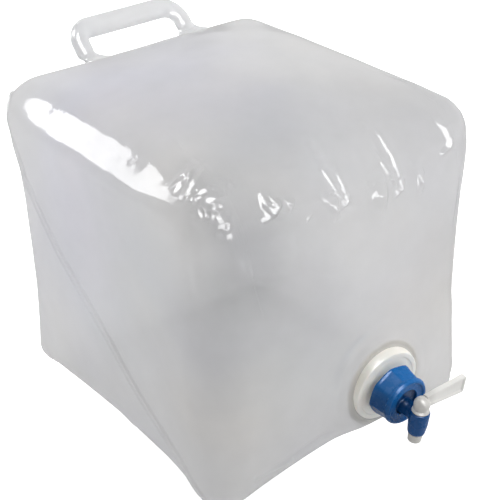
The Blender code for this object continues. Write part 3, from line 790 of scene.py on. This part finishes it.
def build_nut():
    """Eight flats that run into a round bead at the front, and a sunken front face round the tap."""
    steps = 240
    turned_by = math.radians(10.0)
    angles = [turned_by + math.tau * k / steps for k in range(steps)]
    sector = math.tau / 8

    def ring(radius, out):
        return [((radius(a) if callable(radius) else radius) * MM * math.cos(a), -out * MM,
                 (radius(a) if callable(radius) else radius) * MM * math.sin(a)) for a in angles]

    def outline(corner, roundness):
        """roundness 0: an octagon with softened corners; 1: a circle."""
        def radius(a):
            off = ((a - turned_by) % sector) - sector / 2
            side_r = corner * math.cos(sector / 2) / math.cos(off)
            cap = corner * 0.988
            octagon = (side_r ** -70 + cap ** -70) ** (-1 / 70)
            return mix(octagon, corner, roundness)
        return radius

    rings = [ring(17.6, 9.7), ring(18.0, 9.5), ring(outline(20.6, 0.45), 9.5), ring(outline(21.3, 0.45), 9.55),
             ring(outline(21.75, 0.45), 9.8), ring(outline(21.95, 0.42), 10.2)]
    for k in range(24):
        t = k / 23
        rings.append(ring(outline(mix(21.95, 20.05, t), 0.4 * (1 - float(smooth(t * 7.0)))), mix(10.7, 23.3, t)))
    # The bead stands about a millimetre proud of the flats.
    for t in np.linspace(0.06, 1, 12):
        a = math.radians(-90 + 90 * t)
        rings.append(ring(lambda q, t=t, a=a: mix(outline(20.0, 0)(q), 20.05 + 0.0 * t, smooth(t) ** 0.8), 23.4 + 1.7 * t))
    for q, o in rounded([(20.05, 25.1, 0), (19.95, 26.6, 1.3), (18.6, 28.35, 1.2), (16.9, 28.3, 0.8), (15.8, 27.0, 0.8),
                         (11.4, 26.9, 0.3), (10.9, 27.2, 0.2), (10.7, 26.9, 0.1), (10.7, 25.7, 0)], 0.5, 6, closed=False):
        rings.append(ring(q, o))
    rings.append(ring(16.6, 25.7))
    first, last = 10.6, 21.4
    rows = 64
    for k in range(rows, -1, -1):
        out = first + (last - first) * k / rows
        rings.append(ring(lambda a, out=out: thread_radius(16.6, -1.0, 0.5, a, out, first, last), out))
    bm = bmesh.new()
    skin_rings(bm, rings, close=True)
    return add_object("screw_nut", bm, NECK_FRAME, 50)


nut = build_nut()

washer = add_object("seal_ring", spun([(q * MM, h * MM) for q, h in rounded(
    [(14.9, 23.2), (14.9, 21.8), (11.3, 21.8), (11.3, 23.2)], 0.35, 4)], 96, out=True), NECK_FRAME, 60)


# ----------------------------------------------------------------- tap, plug
def fused(name, solids, cuts, matrix, voxel, passes, more_cuts=()):
    """Shapes melted into one moulding: joined, cut, remeshed finely and eased, so that every corner has a small radius."""
    col = bpy.context.scene.collection
    temp = []

    def shape(bm, at):
        bmesh.ops.recalc_face_normals(bm, faces=bm.faces)
        me = bpy.data.meshes.new("shape")
        bm.to_mesh(me)
        bm.free()
        o = bpy.data.objects.new("shape", me)
        o.matrix_world = at
        col.objects.link(o)
        temp.append(o)
        return o

    base = shape(*solids[0])
    for kind, group in (("UNION", solids[1:]), ("DIFFERENCE", cuts)):
        for bm, at in group:
            m = base.modifiers.new(kind.lower(), "BOOLEAN")
            m.operation, m.solver, m.object = kind, "EXACT", shape(bm, at)
    m = base.modifiers.new("remesh", "REMESH")
    m.mode, m.voxel_size, m.use_smooth_shade = "VOXEL", voxel, True
    m = base.modifiers.new("ease", "SMOOTH")
    m.factor, m.iterations = 0.5, passes
    bpy.context.view_layer.update()
    dg = bpy.context.evaluated_depsgraph_get()
    mesh = bpy.data.meshes.new_from_object(base.evaluated_get(dg))
    mesh.name = name
    mesh.transform(base.matrix_world)
    mesh.shade_smooth()
    o = bpy.data.objects.new(name, mesh)
    col.objects.link(o)
    o.matrix_world = matrix
    for t in temp:
        bpy.data.objects.remove(t, do_unlink=True)
    return o


def scaled(profile):
    return [(q * MM, h * MM) for q, h in profile]


I4 = Matrix.Identity(4)
BARREL_AT = Matrix.Translation((0, -42.0 * MM, 0))
INLET_AT = Matrix.Translation((0, 0, -4.1 * MM))
tap = fused("tap_moulding", [
    (spun(scaled([(0, 17.5), (10.8, 17.5), (10.8, 23.5), (15.4, 23.5), (15.4, 25.4), (0, 25.4)]), 96, out=True), I4),
    (spun(scaled([(0, 23.9), (7.0, 23.9), (6.6, 27.5), (5.9, 31.0), (5.9, 42.0), (0, 42.0)]), 72, out=True), INLET_AT),
    (spun(scaled([(0, 2.0), (7.1, 2.0), (7.6, 1.5), (7.6, -9.0), (6.85, -16.4), (6.4, -18.0), (0, -18.0)]), 80), BARREL_AT),
], [
    (spun(scaled([(0, 15.5), (9.0, 15.5), (9.0, 22.3), (0, 22.3)]), 80, out=True), I4),
    (spun(scaled([(0, 17.5), (3.6, 17.5), (3.6, 42.0), (0, 42.0)]), 48, out=True), INLET_AT),
    (spun(scaled([(0, 5.0), (5.55, 5.0), (5.55, -21.0), (0, -21.0)]), 64), BARREL_AT),
], TAP_FRAME, 0.00034, 5)


def lever_blade():
    """A flat blade that deepens outwards, rounded at its end, with a panel sunk in each side."""
    bm = bmesh.new()
    x0, x1 = 2.0 * MM, 43.0 * MM
    h0, h1, up0, up1 = 10.6 * MM, 15.5 * MM, 10.6 * MM, 11.6 * MM

    def outline(inset, thick):
        pts = []
        for x, up, r in ((x0 + inset * 0.2, up0 - h0 / 2 + inset, 0.2 * MM), (x1 - inset, up1 - h1 / 2 + inset, 2.4 * MM - inset * 0.6),
                         (x1 - inset, up1 + h1 / 2 - inset, 2.4 * MM - inset * 0.6), (x0 + inset * 0.2, up0 + h0 / 2 - inset, 0.2 * MM)):
            pts.append((x, up, max(r, 0.3 * MM)))
        return [(x, thick, up) for x, up in rounded(pts, 1.0 * MM, 5)]

    t, web = 2.3 * MM, 1.25 * MM
    edge = [(0.70, -1.0, 0.0), (0.35, -1.0, 0.10), (0.10, -1.0, 0.35), (0.0, -1.0, 0.70), (0.0, 1.0, 0.70), (0.10, 1.0, 0.35), (0.35, 1.0, 0.10),
            (0.70, 1.0, 0.0)]
    rings = [outline(i * MM, sgn * (t - d * MM)) for i, sgn, d in edge]
    sunk = ((1.5, 0.0), (1.75, 0.06), (2.0, 0.25), (2.5, 0.80), (2.75, 0.99), (3.0, 1.05))
    front_side = skin_rings(bm, rings + [outline(i * MM, t - d * MM) for i, d in sunk])
    back_side = skin_rings(bm, [rings[0]] + [outline(i * MM, -t + d * MM) for i, d in sunk])
    bm.faces.new(front_side[-1])
    bm.faces.new(back_side[-1])
    bmesh.ops.remove_doubles(bm, verts=bm.verts, dist=1e-6)
    bmesh.ops.recalc_face_normals(bm, faces=bm.faces)
    return bm


dome = []
for k in range(25):
    a = math.radians(90.0 - 128.0 * k / 24)
    dome.append((max(0.0, 6.3 * math.cos(a)), 8.6 + 6.5 * math.sin(a)))
dome[0] = (0.0, 15.1)
PLUG_AT = BARREL_AT
plug = fused("valve_and_lever", [
    (spun(scaled(dome + [(6.2, 3.6), (6.9, 3.1), (6.9, 2.3), (5.4, 2.3), (5.4, -18.4), (5.9, -18.9), (5.9, -19.5), (5.4, -20.3),
                         (5.3, -25.4), (4.8, -26.0), (3.9, -26.0), (3.9, 0.6), (0.0, 0.6)]), 72), PLUG_AT),
], [
    (spun(scaled([(0, 0), (3.1, 0), (3.1, 9), (0, 9)]), 40), BARREL_AT @ INLET_AT @ Matrix.Rotation(math.radians(-90.0), 4, "Y")),
], TAP_FRAME, 0.00030, 3)
blade = add_object("blade", lever_blade(), None, 35)
blade.data.transform(PLUG_AT)
bm = bmesh.new()
bm.from_mesh(plug.data)
bm.from_mesh(blade.data)
bm.to_mesh(plug.data)
bm.free()
bpy.data.objects.remove(blade, do_unlink=True)


# ----------------------------------------------------------------- materials
def material(name):
    m = bpy.data.materials.new(name)
    m.use_nodes = True
    nt = m.node_tree
    return m, nt, nt.nodes["Principled BSDF"], nt.nodes["Material Output"]


def node(nt, kind, **values):
    n = nt.nodes.new(kind)
    for k, v in values.items():
        if hasattr(n, k):
            setattr(n, k, v)
        else:
            n.inputs[k.replace("_", " ")].default_value = v
    return n


def noise_node(nt, coords, scale, detail=2.0, rough=0.5):
    n = node(nt, "ShaderNodeTexNoise")
    n.inputs["Scale"].default_value = scale
    n.inputs["Detail"].default_value = detail
    n.inputs["Roughness"].default_value = rough
    nt.links.new(coords, n.inputs["Vector"])
    return n.outputs["Fac"]


def ramp(nt, value, stops):
    n = node(nt, "ShaderNodeValToRGB")
    el = n.color_ramp.elements
    while len(el) < len(stops):
        el.new(0.5)
    for e, (p, c) in zip(el, stops):
        e.position = p
        e.color = (*c, 1.0) if len(c) == 3 else c
    nt.links.new(value, n.inputs["Fac"])
    return n.outputs["Color"]


def spread(nt, value, low, high, from_low=0.3, from_high=0.7):
    n = node(nt, "ShaderNodeMapRange")
    n.inputs["From Min"].default_value, n.inputs["From Max"].default_value = from_low, from_high
    n.inputs["To Min"].default_value, n.inputs["To Max"].default_value = low, high
    nt.links.new(value, n.inputs["Value"])
    return n.outputs["Result"]


def bumps(nt, shader, layers):
    """layers: (height output, distance in metres, strength)"""
    last = None
    for h, dist, strength in layers:
        b = node(nt, "ShaderNodeBump")
        b.inputs["Distance"].default_value = dist
        b.inputs["Strength"].default_value = strength
        nt.links.new(h, b.inputs["Height"])
        if last is not None:
            nt.links.new(last, b.inputs["Normal"])
        last = b.outputs["Normal"]
    nt.links.new(last, shader.inputs["Normal"])
    return last


def zone(nt, coords, centre, inner, outer, flatten=None):
    """1 inside a round zone of the piece, 0 outside it, soft between the two radii."""
    off = node(nt, "ShaderNodeVectorMath", operation="SUBTRACT")
    nt.links.new(coords, off.inputs[0])
    off.inputs[1].default_value = tuple(centre)
    last = off.outputs["Vector"]
    if flatten is not None:
        keep = node(nt, "ShaderNodeVectorMath", operation="MULTIPLY")
        nt.links.new(last, keep.inputs[0])
        keep.inputs[1].default_value = flatten
        last = keep.outputs["Vector"]
    far = node(nt, "ShaderNodeVectorMath", operation="LENGTH")
    nt.links.new(last, far.inputs[0])
    m = node(nt, "ShaderNodeMapRange", interpolation_type="SMOOTHSTEP")
    m.inputs["From Min"].default_value, m.inputs["From Max"].default_value = inner, outer
    m.inputs["To Min"].default_value, m.inputs["To Max"].default_value = 1.0, 0.0
    nt.links.new(far.outputs["Value"], m.inputs["Value"])
    return m.outputs["Result"]


def blend_colour(nt, factor, a, b, kind="MIX"):
    n = node(nt, "ShaderNodeMix", data_type="RGBA", blend_type=kind)
    nt.links.new(factor, n.inputs[0])
    nt.links.new(a, n.inputs[6])
    if isinstance(b, tuple):
        n.inputs[7].default_value = (*b, 1.0)
    else:
        nt.links.new(b, n.inputs[7])
    return n.outputs[2]


def arith(nt, kind, a, b):
    n = node(nt, "ShaderNodeMath", operation=kind)
    for i, v in ((0, a), (1, b)):
        if isinstance(v, (int, float)):
            n.inputs[i].default_value = v
        else:
            nt.links.new(v, n.inputs[i])
    return n.outputs[0]


def film_material(name, tones, see_through, glow, painted_light_zones=(), neck=None):
    """Thin milky polyethylene: glossy skin, light that shines through it, and a little of what is behind."""
    m, nt, b, out = material(name)
    coords = node(nt, "ShaderNodeTexCoord").outputs["Object"]
    large = noise_node(nt, coords, 7.0, 2.0)
    colour = ramp(nt, large, tones)
    # Painted shade and painted light on the film: soft patches with wandering limits.
    wander = node(nt, "ShaderNodeTexNoise")
    wander.inputs["Scale"].default_value, wander.inputs["Detail"].default_value = 9.0, 2.0
    nt.links.new(coords, wander.inputs["Vector"])
    shifted = node(nt, "ShaderNodeVectorMath", operation="MULTIPLY_ADD")
    nt.links.new(wander.outputs["Color"], shifted.inputs[0])
    shifted.inputs[1].default_value = (0.09, 0.09, 0.09)
    nt.links.new(coords, shifted.inputs[2])
    back_shift = node(nt, "ShaderNodeVectorMath", operation="SUBTRACT")
    nt.links.new(shifted.outputs[0], back_shift.inputs[0])
    back_shift.inputs[1].default_value = (0.045, 0.045, 0.045)
    # Each zone multiplies the colour by its tint: painted shade below 1, painted light above 1.
    for centre, radius, painted_tint in painted_light_zones:
        colour = blend_colour(nt, zone(nt, back_shift.outputs[0], centre, 0.0, radius), colour, painted_tint, "MULTIPLY")
    fit = None
    if neck is not None:                                  # where the film lies on the weld flange
        ring = zone(nt, coords, neck, 0.0330, 0.0400, (1.0, 0.0, 1.0))
        front = zone(nt, coords, (neck[0], neck[1], neck[2]), 0.030, 0.040, (0.0, 1.0, 0.0))
        fit = arith(nt, "MULTIPLY", arith(nt, "MULTIPLY", ring, front), 0.45)
        colour = blend_colour(nt, fit, colour, ramp(nt, noise_node(nt, coords, 60.0, 2.0), [(0.3, (0.71, 0.70, 0.675)), (0.7, (0.75, 0.745, 0.725))]))
    nt.links.new(colour, b.inputs["Base Color"])
    nt.links.new(spread(nt, noise_node(nt, coords, 24.0, 3.0), 0.03, 0.09), b.inputs["Roughness"])
    b.inputs["IOR"].default_value = 1.5
    b.inputs["Specular IOR Level"].default_value = 0.9
    b.inputs["Coat Weight"].default_value = 0.35
    b.inputs["Coat Roughness"].default_value = 0.04
    layers = [(noise_node(nt, coords, 90.0, 3.0), 0.0012, 0.10), (noise_node(nt, coords, 900.0, 2.0), 0.0002, 0.08)]
    normal = bumps(nt, b, layers)
    through = node(nt, "ShaderNodeBsdfTranslucent")
    nt.links.new(colour, through.inputs["Color"])
    nt.links.new(normal, through.inputs["Normal"])
    mix1 = node(nt, "ShaderNodeMixShader")
    mix1.inputs["Fac"].default_value = glow
    if fit is not None:
        nt.links.new(spread(nt, fit, glow, 0.36, 0.0, 1.0), mix1.inputs["Fac"])
    nt.links.new(b.outputs["BSDF"], mix1.inputs[1])
    nt.links.new(through.outputs["BSDF"], mix1.inputs[2])
    clear = node(nt, "ShaderNodeBsdfTransparent")
    clear.inputs["Color"].default_value = (0.94, 0.94, 0.945, 1.0)
    facing = node(nt, "ShaderNodeLayerWeight")
    facing.inputs["Blend"].default_value = 0.35
    much = spread(nt, facing.outputs["Facing"], see_through, see_through * 0.15, 0.0, 1.0)
    thick = spread(nt, noise_node(nt, coords, 16.0, 3.0), 0.75, 1.2)
    product = arith(nt, "MULTIPLY", much, thick)
    if fit is not None:
        product = arith(nt, "MULTIPLY", product, spread(nt, fit, 1.0, 0.0, 0.0, 1.0))
    mix2 = node(nt, "ShaderNodeMixShader")
    nt.links.new(product, mix2.inputs["Fac"])
    nt.links.new(mix1.outputs[0], mix2.inputs[1])
    nt.links.new(clear.outputs["BSDF"], mix2.inputs[2])
    nt.links.new(mix2.outputs[0], out.inputs["Surface"])
    return m


# The list of zones paints shade (tints under 1) and light (tints over 1) into the bag film's colour.
film = film_material("milky_film", [(0.30, (0.732, 0.732, 0.753)), (0.50, (0.753, 0.753, 0.753)), (0.70, (0.785, 0.770, 0.753))], 0.30, 0.57, [
    ((-0.06, 0.03, 0.30), 0.13, (0.90, 0.90, 0.98)),
    ((-0.13, 0.02, 0.20), 0.12, (0.94, 0.945, 1.00)),
    ((0.02, -0.10, 0.29), 0.13, (0.90, 0.90, 0.905)),
    ((-0.09, -0.155, 0.22), 0.12, (0.82, 0.825, 0.84)),
    ((-0.13, -0.14, 0.13), 0.08, (0.93, 0.93, 0.94)),
    ((-0.06, -0.155, 0.13), 0.10, (0.92, 0.92, 0.92)),
    ((-0.1, 0.06, 0.29), 0.1, (1.072, 1.077, 1.100)),
    ((-0.05, 0.03, 0.295), 0.1, (0.995, 0.995, 0.981)),
    ((-0.045, -0.065, 0.293), 0.09, (0.887, 0.896, 0.939)),
    ((0.03, -0.09, 0.29), 0.09, (1.040, 1.039, 1.031)),
    ((-0.06, -0.125, 0.277), 0.08, (0.912, 0.921, 0.926)),
    ((0.08, -0.12, 0.275), 0.09, (0.906, 0.904, 0.905)),
    ((-0.138, 0.0, 0.235), 0.09, (0.998, 0.989, 1.027)),
    ((-0.139, -0.05, 0.21), 0.08, (0.872, 0.894, 0.913)),
    ((-0.1415, -0.02, 0.15), 0.1, (0.95, 0.965, 0.985)),
    ((-0.135, -0.134, 0.19), 0.07, (0.955, 0.958, 0.950)),
    ((-0.11, -0.151, 0.243), 0.075, (0.63, 0.64, 0.66)),
    ((-0.07, -0.158, 0.21), 0.07, (0.975, 0.969, 0.965)),
    ((-0.065, -0.16, 0.13), 0.09, (1.065, 1.077, 1.070)),
    ((0.05, -0.16, 0.165), 0.09, (0.92, 0.92, 0.935)),
    ((0.09, -0.15, 0.13), 0.08, (0.930, 0.924, 0.911)),
    ((-0.12, -0.147, 0.09), 0.08, (0.99, 0.98, 0.96)),
], NECK_AT)
handle_film = film_material("milky_handle", [(0.30, (0.78, 0.79, 0.81)), (0.50, (0.81, 0.81, 0.81)), (0.70, (0.84, 0.83, 0.80))], 0.30, 0.50)


def plastic_material(name, tones, rough, scale=60.0, soft=0.0, soft_depth=0.003, specular=0.5, fine=0.10, painted_light_zone=None):
    """Moulded plastic: slow change of tone, faint flow marks, fine surface grain."""
    m, nt, b, out = material(name)
    coords = node(nt, "ShaderNodeTexCoord").outputs["Object"]
    tone = ramp(nt, noise_node(nt, coords, scale * 0.35, 1.0), tones)
    if painted_light_zone is not None:                                  # a soft round zone whose colour paints shade where it is darker and light where it is lighter
        tone = blend_colour(nt, zone(nt, coords, painted_light_zone[0], painted_light_zone[1], painted_light_zone[2]), tone, painted_light_zone[3])
    nt.links.new(tone, b.inputs["Base Color"])
    nt.links.new(spread(nt, noise_node(nt, coords, scale * 2.3, 4.0), rough[0], rough[1]), b.inputs["Roughness"])
    b.inputs["Specular IOR Level"].default_value = specular
    if soft:
        b.inputs["Subsurface Weight"].default_value = soft
        b.inputs["Subsurface Radius"].default_value = (1.0, 0.85, 0.7)
        b.inputs["Subsurface Scale"].default_value = soft_depth
    bumps(nt, b, [(noise_node(nt, coords, 120.0, 2.0), 0.0004, 0.08), (noise_node(nt, coords, 2600.0, 2.0), 0.00006, fine)])
    return m


cream = plastic_material("cream_fitting", [(0.3, (0.96, 0.925, 0.845)), (0.7, (0.98, 0.955, 0.885))], (0.28, 0.40), 40.0, 0.35, 0.004)
# Painted shade: the nut's lower left flats are made darker.
blue = plastic_material("blue_nut", [(0.3, (0.002, 0.125, 0.395)), (0.7, (0.003, 0.135, 0.42))], (0.22, 0.32), 70.0, 0.0, specular=0.28,
                        painted_light_zone=((-0.024, -0.016, -0.008), 0.008, 0.032, (0.0015, 0.060, 0.205)))
# Painted shade: the part of the tap that sits in the nut's recess is made darker.
blue_tap = plastic_material("blue_tap", [(0.3, (0.002, 0.068, 0.235)), (0.7, (0.003, 0.078, 0.26))], (0.22, 0.32), 70.0, specular=0.28,
                            painted_light_zone=((0.0, -0.026, 0.0), 0.010, 0.020, (0.0012, 0.045, 0.155)))
# Painted light: the thin lever blade is made lighter, a painted glow of light shining through it.
white = plastic_material("white_plug", [(0.3, (0.63, 0.615, 0.58)), (0.7, (0.68, 0.67, 0.645))], (0.30, 0.40), 60.0, 0.0, 0.004, specular=0.35,
                         painted_light_zone=((0.030, -0.042, 0.0113), 0.015, 0.026, (0.84, 0.83, 0.80)))
rubber = plastic_material("grey_rubber", [(0.3, (0.20, 0.20, 0.20)), (0.7, (0.27, 0.27, 0.26))], (0.55, 0.70), 200.0)

for o, m in ((bag, film), (handle, handle_film), (neck, cream), (nut, blue), (washer, rubber), (tap, blue_tap), (plug, white)):
    o.data.materials.clear()
    o.data.materials.append(m)

# -------------------------------------------------- pieces on their bodies
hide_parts("bladder_lower", "bladder_upper")
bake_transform(bag)
for piece, body, cad, slot in (
    (handle, "upper_bag", "carry_handle", "handle"),
    (neck, "lower_bag", "neck_fitment", "neck"),
    (washer, "tap", "tap_washer", "washer"),
    (nut, "nut", "cap_nut", "nut"),
    (tap, "tap", "tap_body", "tap"),
    (plug, "plug", "valve_plug", "plug"),
):
    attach(piece, body)
    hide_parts(cad)

# -------------------------------------------------------------- floor, light
floor_mesh = bpy.data.meshes.new("floor")
floor_mesh.from_pydata([(-9, -9, 0), (9, -9, 0), (9, 9, 0), (-9, 9, 0)], [], [(0, 1, 2, 3)])
floor = bpy.data.objects.new("floor", floor_mesh)
bpy.context.scene.collection.objects.link(floor)
floor.location.z = -0.0004
m, nt, b, out = material("pale_floor")
coords = node(nt, "ShaderNodeTexCoord").outputs["Object"]
tone = ramp(nt, noise_node(nt, coords, 1.5, 1.0), [(0.3, (0.66, 0.66, 0.66)), (0.7, (0.68, 0.68, 0.68))])
nt.links.new(tone, b.inputs["Base Color"])
b.inputs["Roughness"].default_value = 0.9
b.inputs["Specular IOR Level"].default_value = 0.1
b.inputs["Emission Color"].default_value = (1.0, 1.0, 1.0, 1.0)
# Seen directly the floor is a bright sheet of paper; it throws back less light than it shows.
path = node(nt, "ShaderNodeLightPath")
nt.links.new(spread(nt, path.outputs["Is Camera Ray"], 0.0, 0.72, 0.0, 1.0), b.inputs["Emission Strength"])
floor_mesh.materials.append(m)

world = bpy.data.worlds.new("studio")
bpy.context.scene.world = world
world.use_nodes = True
nt = world.node_tree
bg = nt.nodes["Background"]
sky = node(nt, "ShaderNodeSeparateXYZ")
nt.links.new(node(nt, "ShaderNodeTexCoord").outputs["Generated"], sky.inputs[0])
shade = ramp(nt, sky.outputs["Z"], [(0.0, (0.95, 0.95, 0.95)), (0.36, (0.95, 0.95, 0.95)), (0.46, (0.40, 0.40, 0.405)), (1.0, (0.33, 0.33, 0.335))])
# The room is brighter to the right.
across = node(nt, "ShaderNodeMix", data_type="RGBA", blend_type="MULTIPLY")
across.inputs[0].default_value = 1.0
nt.links.new(shade, across.inputs[6])
nt.links.new(ramp(nt, spread(nt, sky.outputs["X"], 0.0, 1.0, -1.0, 1.0), [(0.0, (0.42, 0.42, 0.425)), (0.5, (0.78, 0.78, 0.785)), (1.0, (1.0, 1.0, 1.0))]), across.inputs[7])
nt.links.new(across.outputs[2], bg.inputs["Color"])
bg.inputs["Strength"].default_value = 1.0
white_sky = node(nt, "ShaderNodeBackground")
white_sky.inputs["Color"].default_value = (1.0, 1.0, 1.0, 1.0)
choose = node(nt, "ShaderNodeMixShader")
nt.links.new(node(nt, "ShaderNodeLightPath").outputs["Is Camera Ray"], choose.inputs["Fac"])
nt.links.new(bg.outputs[0], choose.inputs[1])
nt.links.new(white_sky.outputs[0], choose.inputs[2])
nt.links.new(choose.outputs[0], nt.nodes["World Output"].inputs["Surface"])


def softbox(name, place, aim, along, width, depth, radiance, fills=True):
    """A rectangular light: width runs along the given direction.  Without fills it only shows in gloss."""
    data = bpy.data.lights.new(name, "AREA")
    data.shape = "RECTANGLE"
    data.size, data.size_y = width, depth
    data.energy = radiance * width * depth * math.pi
    z = (Vector(place) - Vector(aim)).normalized()
    x = Vector(along)
    x = (x - z * x.dot(z)).normalized()
    y = z.cross(x)
    o = bpy.data.objects.new(name, data)
    bpy.context.scene.collection.objects.link(o)
    p = Vector(place)
    o.matrix_world = Matrix(((x.x, y.x, z.x, p.x), (x.y, y.y, z.y, p.y), (x.z, y.z, z.z, p.z), (0, 0, 0, 1)))
    o.visible_camera = False
    o.visible_diffuse = fills
    o.visible_transmission = fills
    return o


softbox("key", (-1.283, 1.75, 1.05), (-1.283, 0.0, 1.05), (0.62, 0, 0.78), 0.95, 1.01, 10.0)
softbox("corner", (-1.05, 0.75, 1.95), (-0.12, -0.11, 0.28), (1, 0, 0), 0.85, 0.85, 22.0, False)
softbox("overhead", (-0.36, -1.05, 1.93), (0.0, 0.0, 0.15), (1, 0, 0), 1.1, 1.7, 19.0, False)
softbox("front", (-0.25, -2.1, 0.98), (0.0, 0.0, 0.2), (1, 0, 0), 0.95, 1.3, 13.0, False)
for lamp in (softbox("top_fill", (0.1, 0.1, 2.4), (0.0, 0.0, 0.15), (1, 0, 0), 1.6, 1.6, 2.6),
             softbox("back_fill", (1.6, 1.9, 1.1), (0.0, 0.0, 0.15), (1, -1, 0), 1.6, 1.6, 4.0),
             softbox("right_fill", (1.8, -1.5, 1.7), (0.0, 0.0, 0.15), (1, 1, 0), 1.5, 1.5, 4.6)):
    lamp.visible_glossy = False

view = bpy.context.scene.view_settings
view.view_transform = "Standard"
view.look = "None"
view.exposure = 0.0
